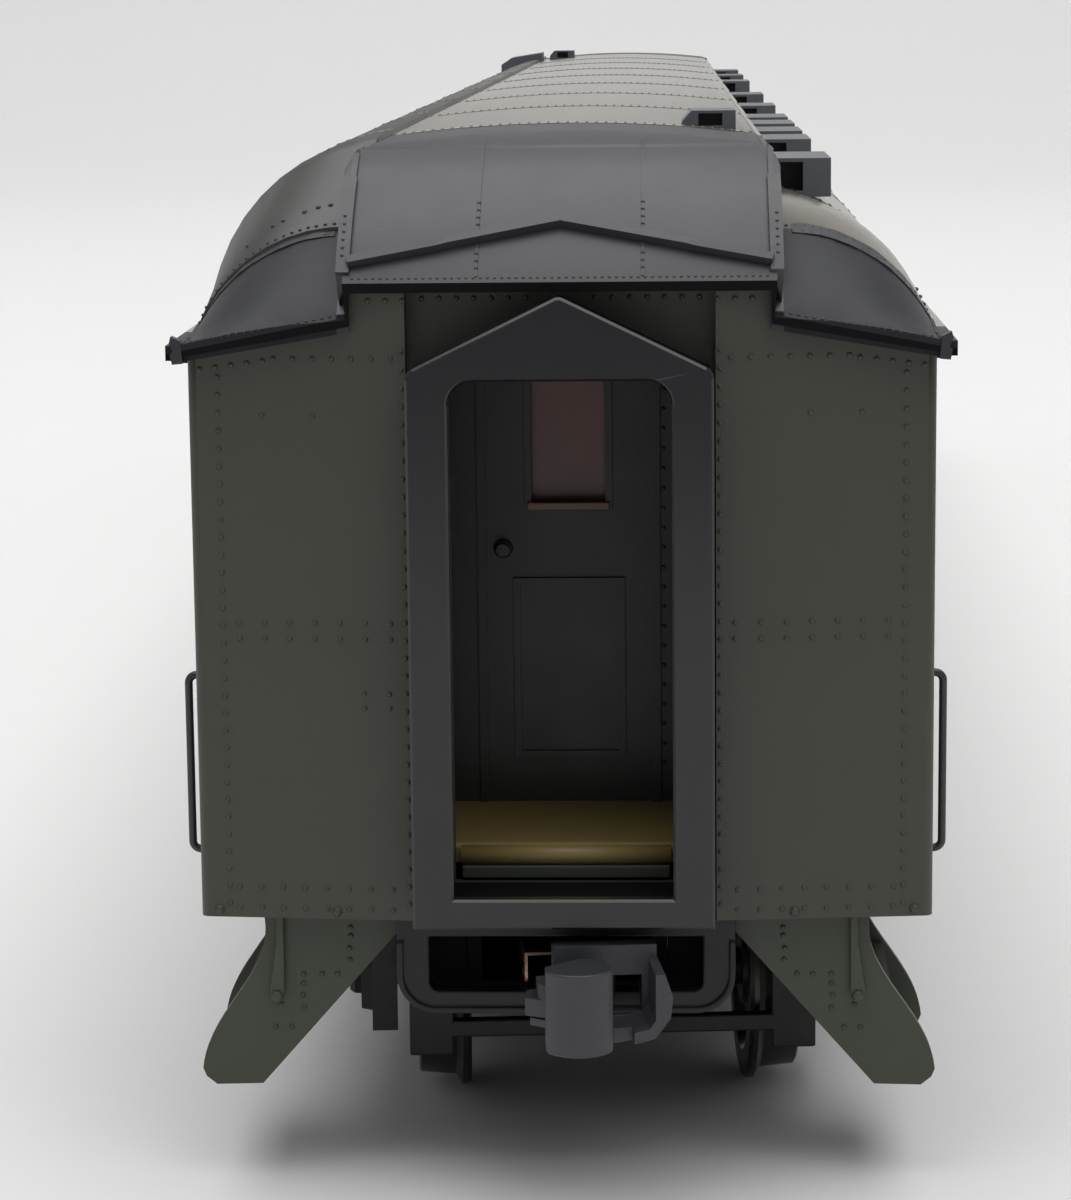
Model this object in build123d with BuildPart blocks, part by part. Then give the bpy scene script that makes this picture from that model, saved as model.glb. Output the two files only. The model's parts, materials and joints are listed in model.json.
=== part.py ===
"""HO scale (1:87) heavyweight passenger coach with a clerestory roof and two six-wheel trucks.

Frame: X across the car, Y along it with the front end at -Y, Z up from the lowest point of the
wheel flanges.  All sizes are in millimetres.  The two ends are alike, turned end for end.
"""
import os
from math import cos, radians, sin

from build123d import *

os.makedirs("parts", exist_ok=True)

# ------------------------------------------------------------------ driving dimensions
LENGTH = 280.0            # over the corners of the end sheets
WIDTH = 35.0              # over the side sheets
SHEET = 1.0               # thickness of sides and ends
BODY_BOTTOM = 13.4
EAVE = 39.9
BOW = 0.9                 # the end sheets stand this far out beside the gangway

ROOF_TOP = 50.3
CLERESTORY_X = 10.4       # half width of the upper deck
ROOF_LIP_X = 17.95
HOOD_FRONT = -1.3         # depth of the roof's front edge; depths run inward from the end corners

WINDOW_PAIRS = 13
WINDOW_PAIR_PITCH = 17.6
WINDOW_SIZE = (6.6, 8.1)
WINDOW_POST = 1.7
WINDOW_SILL = 28.4
BELT_RAIL = (26.7, 28.1)

DOOR_DEPTH = (1.9, 9.5)   # the vestibule side door lies between these depths
DOOR_TOP = 37.4

GANGWAY_X = 5.15          # half width of the walk-through opening
GANGWAY_SILL = 15.0
GANGWAY_TOP = 39.4
FACE_X = 7.1              # half width of the diaphragm face plate
FACE_BOTTOM = 13.55
FACE_SHOULDER = 39.83
FACE_PEAK = 43.3
FACE_FRONT = -3.2
FACE_THICK = 0.7

FLOOR_TOP = 16.5
FLOOR_THICK = 0.95
DECK = (12.6, 14.0)       # underframe plate, bottom and top
VESTIBULE_DEPTH = 11.0    # front face of the inner end wall

TRUCK_DEPTH = 36.6        # king pin, in from the end corners
AXLE_PITCH = 19.25
TREAD_R = 5.25
FLANGE_R = 5.9
AXLE_Z = FLANGE_R
BACK_TO_BACK = 14.4
WHEEL_WIDTH = 2.7
AXLE_R = 1.0
JOURNAL_R = 0.6
RUNNING_FIT = 0.06        # radial clearance of every turning or sliding fit
TRUCK_SIDE_X = 11.0       # inner face of the truck side frames
TRUCK_SIDE_THICK = 1.3
KING_PIN_R = 1.0

COUPLER_PIVOT_DEPTH = 8.0
COUPLER_SWING_AT_REST = 7.0   # the front coupler is stored swung towards +X
TRUCK_SWIVEL_AT_REST = 4.5    # the front truck is stored with its first axle towards +X
COUPLER_POST_R = 1.1

HALF = LENGTH / 2
SIDE_X = WIDTH / 2
INNER_X = SIDE_X - SHEET
FLOOR_X = INNER_X - 0.1
TRUCK_Y = -(HALF - TRUCK_DEPTH)
FACE_BACK = FACE_FRONT + FACE_THICK


# ------------------------------------------------------------------ planes and small helpers
def across(depth):
    """Plane across the car, this deep from the front end's corners, facing the front."""
    return Plane.XZ.offset(HALF - depth)


def along(x):
    """Plane along the car: its first axis is Y, its second is Z, and it faces +X."""
    return Plane.YZ.offset(x)


def level(z):
    return Plane.XY.offset(z)


def y_at(depth):
    return depth - HALF


def slab(x0, x1, y0, y1, z0, z1, mode=Mode.ADD):
    """Add a block between two corners to the part being built."""
    with Locations(((x0 + x1) / 2, (y0 + y1) / 2, (z0 + z1) / 2)):
        Box(x1 - x0, y1 - y0, z1 - z0, mode=mode)


def rod(radius, start, end, mode=Mode.ADD):
    """Add a round rod between two points that differ along one axis."""
    middle = tuple((a + b) / 2 for a, b in zip(start, end))
    reach = [abs(b - a) for a, b in zip(start, end)]
    length = max(reach)
    turn = {0: (0, 90, 0), 1: (90, 0, 0), 2: (0, 0, 0)}[reach.index(length)]
    with Locations(middle):
        Cylinder(radius, length, rotation=turn, mode=mode)


def house_outline(inset, bottom):
    """Corners of the house-shaped outline of the diaphragm, drawn in by inset."""
    edge_x = FACE_X - inset
    shoulder = FACE_SHOULDER - inset * 0.56
    peak = FACE_PEAK - inset * 1.12
    return [(-edge_x, bottom), (-edge_x, shoulder), (0, peak), (edge_x, shoulder), (edge_x, bottom)]


# ------------------------------------------------------------------ sides
window_centres = [
    (pair - (WINDOW_PAIRS - 1) / 2) * WINDOW_PAIR_PITCH + side * (WINDOW_SIZE[0] + WINDOW_POST) / 2
    for pair in range(WINDOW_PAIRS)
    for side in (-1, 1)
]
WASHROOM_WINDOW_Y = HALF - 19.0
WASHROOM_WINDOW = (4.0, 5.4)
window_middle_z = WINDOW_SILL + WINDOW_SIZE[1] / 2
side_y = HALF - SHEET
door_y = -HALF + sum(DOOR_DEPTH) / 2
door_width = DOOR_DEPTH[1] - DOOR_DEPTH[0]

with BuildPart() as side_right:
    with BuildSketch(along(INNER_X)):
        with Locations((0, (BODY_BOTTOM + EAVE) / 2)):
            Rectangle(2 * side_y, EAVE - BODY_BOTTOM)
        with Locations(*[(y, window_middle_z) for y in window_centres]):
            RectangleRounded(*WINDOW_SIZE, 0.4, mode=Mode.SUBTRACT)
        with Locations((-WASHROOM_WINDOW_Y, window_middle_z + 1), (WASHROOM_WINDOW_Y, window_middle_z + 1)):
            RectangleRounded(*WASHROOM_WINDOW, 0.4, mode=Mode.SUBTRACT)
        with Locations((door_y, (BODY_BOTTOM + DOOR_TOP) / 2), (-door_y, (BODY_BOTTOM + DOOR_TOP) / 2)):
            Rectangle(door_width, DOOR_TOP - BODY_BOTTOM, mode=Mode.SUBTRACT)
    extrude(amount=SHEET)
    rail_y = HALF - DOOR_DEPTH[1] - 0.8
    slab(SIDE_X, SIDE_X + 0.15, -rail_y, rail_y, *BELT_RAIL)
    slab(SIDE_X, SIDE_X + 0.12, -rail_y, rail_y, BODY_BOTTOM, BODY_BOTTOM + 1.1)
side_right.part.label = "side_right"
export_step(side_right.part, "parts/side_right.step")

with BuildPart() as side_left:
    add(side_right.part, rotation=(0, 0, 180))
side_left.part.label = "side_left"
export_step(side_left.part, "parts/side_left.step")

# ------------------------------------------------------------------ window glass, strips behind both sides
GLASS = 0.6
glass_y = WINDOW_PAIR_PITCH * WINDOW_PAIRS / 2
with BuildPart() as window_glass:
    slab(INNER_X - GLASS, INNER_X, -glass_y, glass_y, WINDOW_SILL - 0.8, WINDOW_SILL + WINDOW_SIZE[1] + 0.8)
    for end in (-1, 1):
        washroom_y = end * WASHROOM_WINDOW_Y
        slab(INNER_X - GLASS, INNER_X, washroom_y - 2.8, washroom_y + 2.8, WINDOW_SILL + 1, WINDOW_SILL + 9)
    mirror(about=Plane.YZ)
window_glass.part.label = "window_glass"
export_step(window_glass.part, "parts/window_glass.step")

# ------------------------------------------------------------------ end sheets
RECESS_X = FACE_X + 0.1       # the diaphragm sits in a recess this half width
RECESS_DEPTH = 0.4
PIN_R = 0.4
UPPER_PIN_Z = 41.6
LOWER_PIN = (3.6, 14.25)
END_TOP = 43.3
WING_X = 9.78
end_slope = [(SIDE_X, 40.2), (WING_X, 41.5)]

with BuildPart() as end_front:
    with BuildSketch(level(BODY_BOTTOM)):
        with BuildLine():
            Polyline(
                (0, y_at(RECESS_DEPTH)),
                (RECESS_X, y_at(RECESS_DEPTH)),
                (RECESS_X, y_at(-BOW)),
                (SIDE_X, y_at(0)),
                (SIDE_X, y_at(SHEET)),
                (RECESS_X + 1, y_at(SHEET - BOW)),
                (RECESS_X + 1, y_at(RECESS_DEPTH + SHEET)),
                (0, y_at(RECESS_DEPTH + SHEET)),
                close=True,
            )
        make_face()
        mirror(about=Plane.YZ)
    extrude(amount=END_TOP - BODY_BOTTOM)
    corner_edges = end_front.edges().filter_by(Axis.Z).group_by(SortBy.LENGTH)[-1]
    outer_corners = corner_edges.filter_by(lambda e: abs(e.center().X) > SIDE_X - 0.1 and e.center().Y < y_at(0.1))
    fillet(outer_corners, 0.45)
    with BuildSketch(across(-BOW - 1)):
        with BuildLine():
            Polyline(*end_slope, (WING_X, END_TOP + 1), (SIDE_X + 1, END_TOP + 1), (SIDE_X + 1, 40.2), close=True)
        make_face()
        mirror(about=Plane.YZ)
    extrude(amount=-(BOW + 4), mode=Mode.SUBTRACT)
    with BuildSketch(across(-BOW - 1)):
        with Locations((0, (GANGWAY_SILL + GANGWAY_TOP) / 2)):
            Rectangle(2 * GANGWAY_X + 0.3, GANGWAY_TOP - GANGWAY_SILL + 0.3)
        with Locations((0, UPPER_PIN_Z), (-LOWER_PIN[0], LOWER_PIN[1]), (LOWER_PIN[0], LOWER_PIN[1])):
            Circle(PIN_R + RUNNING_FIT)
    extrude(amount=-(BOW + 4), mode=Mode.SUBTRACT)
end_front.part.label = "end_front"
export_step(end_front.part, "parts/end_front.step")

with BuildPart() as end_rear:
    add(end_front.part, rotation=(0, 0, 180))
end_rear.part.label = "end_rear"
export_step(end_rear.part, "parts/end_rear.step")

# ------------------------------------------------------------------ vestibule side doors
DOOR_THICK = 0.8
DOOR_WINDOW = (4.6, 9.0)
with BuildPart() as side_doors:
    with BuildSketch(along(INNER_X)):
        with Locations((door_y, (FLOOR_TOP - 3 + DOOR_TOP) / 2)):
            Rectangle(door_width, DOOR_TOP - FLOOR_TOP + 3)
        with Locations((door_y, 31.4)):
            RectangleRounded(*DOOR_WINDOW, 0.4, mode=Mode.SUBTRACT)
    extrude(amount=DOOR_THICK)
    with BuildSketch(along(INNER_X + DOOR_THICK)):
        with Locations((door_y, 20.6)):
            Rectangle(4.8, 8.2)
            Rectangle(3.9, 7.3, mode=Mode.SUBTRACT)
    extrude(amount=0.15)
    rod(0.3, (INNER_X + DOOR_THICK, door_y - 2.9, 26.4), (SIDE_X + 0.15, door_y - 2.9, 26.4))
    mirror(about=Plane.YZ)
    mirror(about=Plane.XZ)
side_doors.part.label = "side_doors"
export_step(side_doors.part, "parts/side_doors.step")

# ------------------------------------------------------------------ inner end walls, with a door in each
WALL_THICK = 0.9
DOOR_LEAF_X = 4.13
END_DOOR_WINDOW = (3.7, 6.8)
END_DOOR_SILL = 31.8
end_door_window_z = END_DOOR_SILL + END_DOOR_WINDOW[1] / 2
with BuildPart() as bulkheads:
    with BuildSketch(across(VESTIBULE_DEPTH)):
        with Locations((0, (FLOOR_TOP + EAVE) / 2)):
            Rectangle(2 * FLOOR_X, EAVE - FLOOR_TOP)
        with Locations((0, end_door_window_z)):
            Rectangle(*END_DOOR_WINDOW, mode=Mode.SUBTRACT)
    extrude(amount=-WALL_THICK)
    with BuildSketch(across(VESTIBULE_DEPTH)):
        with Locations((0, (FLOOR_TOP + 39.3) / 2)):
            Rectangle(2 * DOOR_LEAF_X + 0.9, 39.3 - FLOOR_TOP)
            Rectangle(2 * DOOR_LEAF_X, 39.3 - FLOOR_TOP, mode=Mode.SUBTRACT)
        with Locations((0, 23.4)):
            Rectangle(5.6, 9.2)
            Rectangle(4.9, 8.5, mode=Mode.SUBTRACT)
        with Locations((0, end_door_window_z)):
            Rectangle(END_DOOR_WINDOW[0] + 0.7, END_DOOR_WINDOW[1] + 0.7)
            Rectangle(*END_DOOR_WINDOW, mode=Mode.SUBTRACT)
    extrude(amount=0.2)
    knob_y = y_at(VESTIBULE_DEPTH)
    rod(0.32, (-3.3, knob_y - 0.7, 29.5), (-3.3, knob_y, 29.5))
    mirror(about=Plane.XZ)
bulkheads.part.label = "bulkheads"
export_step(bulkheads.part, "parts/bulkheads.step")

with BuildPart() as door_glass:
    end_glass_y = y_at(VESTIBULE_DEPTH + WALL_THICK)
    slab(-2.5, 2.5, end_glass_y, end_glass_y + 0.5, END_DOOR_SILL - 0.7, END_DOOR_SILL + 7.5)
    slab(INNER_X - 0.5, INNER_X, door_y - 2.9, door_y + 2.9, 26.3, 36.5)
    slab(-INNER_X, -INNER_X + 0.5, door_y - 2.9, door_y + 2.9, 26.3, 36.5)
    mirror(about=Plane.XZ)
door_glass.part.label = "door_glass"
export_step(door_glass.part, "parts/door_glass.step")

# ------------------------------------------------------------------ underframe and what it carries
BEAM_X = 8.0
BOSS_R = 3.4
BOSS_BOTTOM = 11.95
SILL_BOTTOM = 8.8
with BuildPart() as underframe:
    wall_y = HALF - VESTIBULE_DEPTH
    slab(-FLOOR_X, FLOOR_X, -wall_y, wall_y, *DECK)
    for end in (-1, 1):
        tongue = sorted((end * (wall_y - 1), end * (HALF - RECESS_DEPTH - SHEET)))
        slab(-BEAM_X, BEAM_X, *tongue, 12.4, 13.6)
        rod(BOSS_R, (0, end * TRUCK_Y, BOSS_BOTTOM), (0, end * TRUCK_Y, DECK[0] + 0.2))
    for end in (-1, 1):
        rod(KING_PIN_R, (0, end * TRUCK_Y, BOSS_BOTTOM - 1), (0, end * TRUCK_Y, DECK[1] + 1), mode=Mode.SUBTRACT)
underframe.part.label = "underframe"
export_step(underframe.part, "parts/underframe.step")

SILL_HALF = 2.2
SEAM = 0.05               # the cross bearers are glued on beside the sill
BEARER_X = 15.6
BEARER_Y = (-62, -44, 0, 44, 62)
with BuildPart() as centre_sill:
    with BuildSketch(along(-SILL_HALF)):
        with BuildLine():
            Polyline((-72, DECK[0]), (-56, SILL_BOTTOM), (56, SILL_BOTTOM), (72, DECK[0]), close=True)
        make_face()
    extrude(amount=2 * SILL_HALF)
    for bearer_y in BEARER_Y:
        for hand in (-1, 1):
            slab(*sorted((hand * (SILL_HALF + SEAM), hand * BEARER_X)), bearer_y - 0.5, bearer_y + 0.5, 11.0, DECK[0])
centre_sill.part.label = "centre_sill"
export_step(centre_sill.part, "parts/centre_sill.step")

with BuildPart() as ballast_weight:
    slab(-13.5, 13.5, -96, 96, DECK[1], DECK[1] + 1.5)
ballast_weight.part.label = "ballast_weight"
export_step(ballast_weight.part, "parts/ballast_weight.step")

with BuildPart() as king_pin_screws:
    rod(KING_PIN_R, (0, TRUCK_Y, 8.4), (0, TRUCK_Y, DECK[1]))
    rod(1.9, (0, TRUCK_Y, 7.6), (0, TRUCK_Y, 8.5))
    slab(-1.5, 1.5, TRUCK_Y - 0.2, TRUCK_Y + 0.2, 7.6, 7.95, mode=Mode.SUBTRACT)
    mirror(about=Plane.XZ)
king_pin_screws.part.label = "king_pin_screws"
export_step(king_pin_screws.part, "parts/king_pin_screws.step")

# ------------------------------------------------------------------ interior
with BuildPart() as interior_floor:
    floor_y = HALF - 2.0
    slab(-FLOOR_X, FLOOR_X, -floor_y, floor_y, FLOOR_TOP - FLOOR_THICK, FLOOR_TOP)
    nosing = interior_floor.edges().filter_by(Axis.X).group_by(Axis.Z)[-1]
    fillet(nosing, 0.3)
interior_floor.part.label = "interior_floor"
export_step(interior_floor.part, "parts/interior_floor.step")

SEAT_ROWS = 21
SEAT_PITCH = 9.9
SEAT_X = (4.6, 15.2)
with BuildPart() as seats:
    for row in range(SEAT_ROWS):
        seat_y = (row - (SEAT_ROWS - 1) / 2) * SEAT_PITCH
        with BuildSketch(along(SEAT_X[0])):
            with BuildLine():
                Polyline(
                    (seat_y - 2.6, FLOOR_TOP),
                    (seat_y - 2.6, FLOOR_TOP + 3.7),
                    (seat_y - 2.0, FLOOR_TOP + 4.4),
                    (seat_y + 1.6, FLOOR_TOP + 4.2),
                    (seat_y + 2.4, FLOOR_TOP + 10.6),
                    (seat_y + 3.4, FLOOR_TOP + 10.9),
                    (seat_y + 3.7, FLOOR_TOP + 10.4),
                    (seat_y + 2.9, FLOOR_TOP + 3.6),
                    (seat_y + 2.4, FLOOR_TOP),
                    close=True,
                )
            make_face()
        extrude(amount=SEAT_X[1] - SEAT_X[0])
    mirror(about=Plane.YZ)
seats.part.label = "seats"
export_step(seats.part, "parts/seats.step")

PARTITION_Y = HALF - 25.5
with BuildPart() as partitions:
    for x0, x1 in ((-FLOOR_X, -3.6), (3.6, FLOOR_X)):
        slab(x0, x1, -PARTITION_Y - 0.8, -PARTITION_Y, FLOOR_TOP, 38.5)
    mirror(about=Plane.XZ)
partitions.part.label = "partitions"
export_step(partitions.part, "parts/partitions.step")

# ------------------------------------------------------------------ steps at the four corners
STEP_SHEET = 0.6
STEP_DEPTHS = (0.7, 9.9)
step_foot = 4.8
TREADS = ((12.7, 8.6, 14.5), (8.9, 11.6, 15.7), (5.0, 15.0, 17.1))   # z, inner x, outer x
with BuildPart() as steps_front:
    for depth in (STEP_DEPTHS[0], STEP_DEPTHS[1]):
        with BuildSketch(across(depth)):
            with BuildLine():
                Line((8.05, BODY_BOTTOM), (14.6, BODY_BOTTOM))
                Spline((14.6, BODY_BOTTOM), (14.75, 11.4), (15.6, 9.8), (17.0, 7.7), (17.72, 5.6))
                Polyline((17.72, 5.6), (17.55, 5.2), (17.05, step_foot), (14.8, step_foot + 0.05))
                Polyline((14.8, step_foot + 0.05), (8.05, 12.5), (8.05, BODY_BOTTOM))
            make_face()
        extrude(amount=-STEP_SHEET)
    for tread_z, inner_x, outer_x in TREADS:
        slab(inner_x, outer_x, y_at(STEP_DEPTHS[0] + 0.3), y_at(STEP_DEPTHS[1] + 0.3), tread_z, tread_z + 0.5)
    with BuildSketch(across(STEP_DEPTHS[0] + 0.3)):
        with BuildLine():
            Polyline((8.05, BODY_BOTTOM), (8.05, 12.5), (14.8, step_foot + 0.05), (15.4, step_foot + 0.05),
                     (8.6, 12.7), (8.6, BODY_BOTTOM), close=True)
        make_face()
    extrude(amount=-(STEP_DEPTHS[1] - STEP_DEPTHS[0]))
    mirror(about=Plane.YZ)
steps_front.part.label = "steps_front"
export_step(steps_front.part, "parts/steps_front.step")

with BuildPart() as steps_rear:
    add(steps_front.part, rotation=(0, 0, 180))
steps_rear.part.label = "steps_rear"
export_step(steps_rear.part, "parts/steps_rear.step")

# ------------------------------------------------------------------ grab irons beside the side doors
WIRE_R = 0.19
IRON_Z = (16.4, 24.95)
IRON_STANDOFF = 0.5
IRON_DEPTHS = (1.35, 10.3)
with BuildPart() as grab_irons:
    for depth in IRON_DEPTHS:
        iron_x = SIDE_X + IRON_STANDOFF
        iron_y = y_at(depth)
        with BuildLine() as iron_path:
            FilletPolyline(
                (SIDE_X, iron_y, IRON_Z[0]),
                (iron_x, iron_y, IRON_Z[0]),
                (iron_x, iron_y, IRON_Z[1]),
                (SIDE_X, iron_y, IRON_Z[1]),
                radius=0.4,
            )
        with BuildSketch(Plane(origin=iron_path.line @ 0, z_dir=iron_path.line % 0)):
            Circle(WIRE_R)
        sweep(path=iron_path.line)
    mirror(about=Plane.YZ)
    mirror(about=Plane.XZ)
grab_irons.part.label = "grab_irons"
export_step(grab_irons.part, "parts/grab_irons.step")

# ------------------------------------------------------------------ U-shaped buffer frames below the end sheets
UFRAME_DEPTHS = (-0.5, 0.7)
with BuildPart() as buffer_frames:
    with BuildSketch(across(UFRAME_DEPTHS[0])):
        with BuildLine():
            FilletPolyline((-8.1, BODY_BOTTOM), (-8.1, 8.75), (8.1, 8.75), (8.1, BODY_BOTTOM), radius=1.9)
            Line((8.1, BODY_BOTTOM), (-8.1, BODY_BOTTOM))
        make_face()
        with BuildLine():
            FilletPolyline((-6.55, 12.5), (-6.55, 9.8), (6.55, 9.8), (6.55, 12.5), radius=0.5)
            Line((6.55, 12.5), (-6.55, 12.5))
        make_face(mode=Mode.SUBTRACT)
    extrude(amount=-(UFRAME_DEPTHS[1] - UFRAME_DEPTHS[0]))
    with BuildSketch(across(UFRAME_DEPTHS[0])):
        with BuildLine():
            FilletPolyline((-8.1, 12.3), (-8.1, 8.75), (8.1, 8.75), (8.1, 12.3), radius=1.9)
            FilletPolyline((-7.8, 12.3), (-7.8, 9.05), (7.8, 9.05), (7.8, 12.3), radius=1.6)
            Line((-8.1, 12.3), (-7.8, 12.3))
            Line((8.1, 12.3), (7.8, 12.3))
        make_face()
    extrude(amount=0.2)
    slab(-8.0, 8.0, y_at(UFRAME_DEPTHS[1]), y_at(RECESS_DEPTH + SHEET), 12.5, BODY_BOTTOM)
    mirror(about=Plane.XZ)
buffer_frames.part.label = "buffer_frames"
export_step(buffer_frames.part, "parts/buffer_frames.step")

# ------------------------------------------------------------------ coupler boxes, lids and screws
BOX_X = 4.85
BOX_DEPTHS = (1.6, 11.0)
BOX_TOP = 12.4
CAVITY = (9.75, 11.95)
LID_BOTTOM = 9.15
POST_Y = y_at(COUPLER_PIVOT_DEPTH)
with BuildPart() as coupler_boxes:
    slab(-BOX_X, BOX_X, y_at(BOX_DEPTHS[0]), y_at(BOX_DEPTHS[1]), CAVITY[0], BOX_TOP)
    slab(-BOX_X + 0.7, BOX_X - 0.7, y_at(BOX_DEPTHS[0] - 1), y_at(BOX_DEPTHS[1] - 0.6), *CAVITY,
         mode=Mode.SUBTRACT)
    rod(COUPLER_POST_R, (0, POST_Y, CAVITY[0]), (0, POST_Y, BOX_TOP - 0.2))
    rod(0.55, (0, POST_Y, CAVITY[0] - 1), (0, POST_Y, BOX_TOP + 1), mode=Mode.SUBTRACT)
    mirror(about=Plane.XZ)
coupler_boxes.part.label = "coupler_boxes"
export_step(coupler_boxes.part, "parts/coupler_boxes.step")

with BuildPart() as coupler_box_lids:
    slab(-BOX_X, BOX_X, y_at(BOX_DEPTHS[0]), y_at(BOX_DEPTHS[1]), LID_BOTTOM, CAVITY[0])
    rod(0.55, (0, POST_Y, LID_BOTTOM - 1), (0, POST_Y, CAVITY[0] + 1), mode=Mode.SUBTRACT)
    mirror(about=Plane.XZ)
coupler_box_lids.part.label = "coupler_box_lids"
export_step(coupler_box_lids.part, "parts/coupler_box_lids.step")

with BuildPart() as coupler_box_screws:
    rod(0.55, (0, POST_Y, LID_BOTTOM), (0, POST_Y, BOX_TOP))
    rod(1.0, (0, POST_Y, LID_BOTTOM - 0.6), (0, POST_Y, LID_BOTTOM))
    slab(-0.8, 0.8, POST_Y - 0.12, POST_Y + 0.12, LID_BOTTOM - 0.6, LID_BOTTOM - 0.35, mode=Mode.SUBTRACT)
    mirror(about=Plane.XZ)
coupler_box_screws.part.label = "coupler_box_screws"
export_step(coupler_box_screws.part, "parts/coupler_box_screws.step")

# ------------------------------------------------------------------ couplers, drawn straight and then swung
SHANK_Z = (9.85, 11.7)
SHANK_X = 1.15
HEAD_FRONT = y_at(-3.2)
KNUCKLE_PIN = (-2.05, y_at(-3.9))
KNUCKLE_PIN_R = 0.35
KNUCKLE_Z = (8.5, 12.5)
with BuildPart() as coupler_straight:
    slab(-SHANK_X, SHANK_X, y_at(-2.6), POST_Y, *SHANK_Z)
    rod(2.1, (0, POST_Y, SHANK_Z[0]), (0, POST_Y, SHANK_Z[1]))
    slab(-1.9, 3.0, HEAD_FRONT, y_at(-2.2), 9.3, 12.75)
    # guard arm, an open scoop seen from the front
    with BuildSketch(across(-6.2)):
        with BuildLine():
            Polyline((2.6, 12.1), (3.05, 12.1), (3.42, 11.0), (3.3, 10.0), (2.6, 9.05), (1.6, 8.8), (1.6, 9.35),
                     (2.3, 9.5), (2.6, 9.9), close=True)
        make_face()
    extrude(amount=-3.2)
    with BuildSketch(across(-5.3)):
        with BuildLine():
            Polyline((1.7, 8.8), (1.0, 8.65), (0.7, 8.65), (0.7, 9.35), (1.7, 9.35), close=True)
        make_face()
    extrude(amount=-2.6)
    slab(-0.9, 0.8, y_at(-4.1), y_at(-2.7), 8.65, 9.3)
    slab(-0.9, 3.0, HEAD_FRONT, y_at(-2.2), 8.9, 9.5)
    # two ears that hold the knuckle's pin
    for ear_z, ear_top, ear_x in ((9.35, 9.72, -3.1), (9.82, 10.68, -3.33)):
        with BuildSketch(level(ear_z)):
            with BuildLine():
                Polyline((-1.2, y_at(-2.5)), (ear_x + 0.2, y_at(-3.0)), (ear_x, y_at(-4.3)), (-2.4, y_at(-4.9)),
                         (-1.6, y_at(-3.9)), close=True)
            make_face()
        extrude(amount=ear_top - ear_z)
    slab(-1.8, -1.2, HEAD_FRONT, y_at(-2.4), 9.35, 9.9)
    slab(0.75, 2.3, y_at(-3.4), y_at(-2.0), 9.5, 11.3, mode=Mode.SUBTRACT)
    rod(COUPLER_POST_R + RUNNING_FIT, (0, POST_Y, 9), (0, POST_Y, 13), mode=Mode.SUBTRACT)
    rod(KNUCKLE_PIN_R + RUNNING_FIT, (*KNUCKLE_PIN, 9), (*KNUCKLE_PIN, 10.7), mode=Mode.SUBTRACT)

with BuildPart() as knuckle_straight:
    with BuildSketch(level(KNUCKLE_Z[0])):
        with BuildLine():
            Polyline((-2.54, y_at(-6.4)), (-2.5, y_at(-5.5)), (-1.5, y_at(-4.8)), (-0.75, y_at(-4.3)),
                     (0.3, y_at(-4.5)), (0.55, y_at(-5.1)), (0.55, y_at(-6.6)))
            ThreePointArc((0.55, y_at(-6.6)), (-0.9, y_at(-7.35)), (-2.54, y_at(-6.4)))
        make_face()
    extrude(amount=KNUCKLE_Z[1] - KNUCKLE_Z[0])
    fillet(knuckle_straight.edges().group_by(Axis.Z)[0], 0.3)
    fillet(knuckle_straight.edges().group_by(Axis.Z)[-1], 0.12)
    with BuildSketch(level(10.76)):
        with BuildLine():
            Polyline((-2.75, y_at(-3.6)), (-1.55, y_at(-3.45)), (-1.45, y_at(-5.2)), (-2.3, y_at(-5.8)),
                     (-2.75, y_at(-4.7)), close=True)
        make_face()
    extrude(amount=0.75)
    rod(KNUCKLE_PIN_R, (*KNUCKLE_PIN, 9.4), (*KNUCKLE_PIN, 11.0))

# bronze leaves on both sides of the shank, which press on the walls of the box
LEAF_X = 2.9
LEAF = 0.14
LEAF_Z = (9.96, 11.4)
leaf_y = (y_at(0.9), y_at(5.0))
with BuildPart() as springs_straight:
    slab(-LEAF_X, -LEAF_X + LEAF, *leaf_y, *LEAF_Z)
    slab(-LEAF_X, -SHANK_X, *leaf_y, LEAF_Z[1] - LEAF, LEAF_Z[1])
    mirror(about=Plane.YZ)

rest_axis = Axis((0, POST_Y, 0), (0, 0, 1))
for name, straight in (
    ("coupler", coupler_straight),
    ("knuckle", knuckle_straight),
    ("centring_spring", springs_straight),
):
    with BuildPart() as front_piece:
        add(straight.part.rotate(rest_axis, COUPLER_SWING_AT_REST))
    front_piece.part.label = f"{name}_front"
    export_step(front_piece.part, f"parts/{name}_front.step")
    with BuildPart() as rear_piece:
        add(straight.part, rotation=(0, 0, 180))
    rear_piece.part.label = f"{name}_rear"
    export_step(rear_piece.part, f"parts/{name}_rear.step")

rest_swing = radians(COUPLER_SWING_AT_REST)
reach = KNUCKLE_PIN[1] - POST_Y
print("coupler pivot", (0, POST_Y), "front knuckle pin",
      (KNUCKLE_PIN[0] * cos(rest_swing) - reach * sin(rest_swing),
       POST_Y + KNUCKLE_PIN[0] * sin(rest_swing) + reach * cos(rest_swing)),
      "rear knuckle pin", (-KNUCKLE_PIN[0], -KNUCKLE_PIN[1]))

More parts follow.
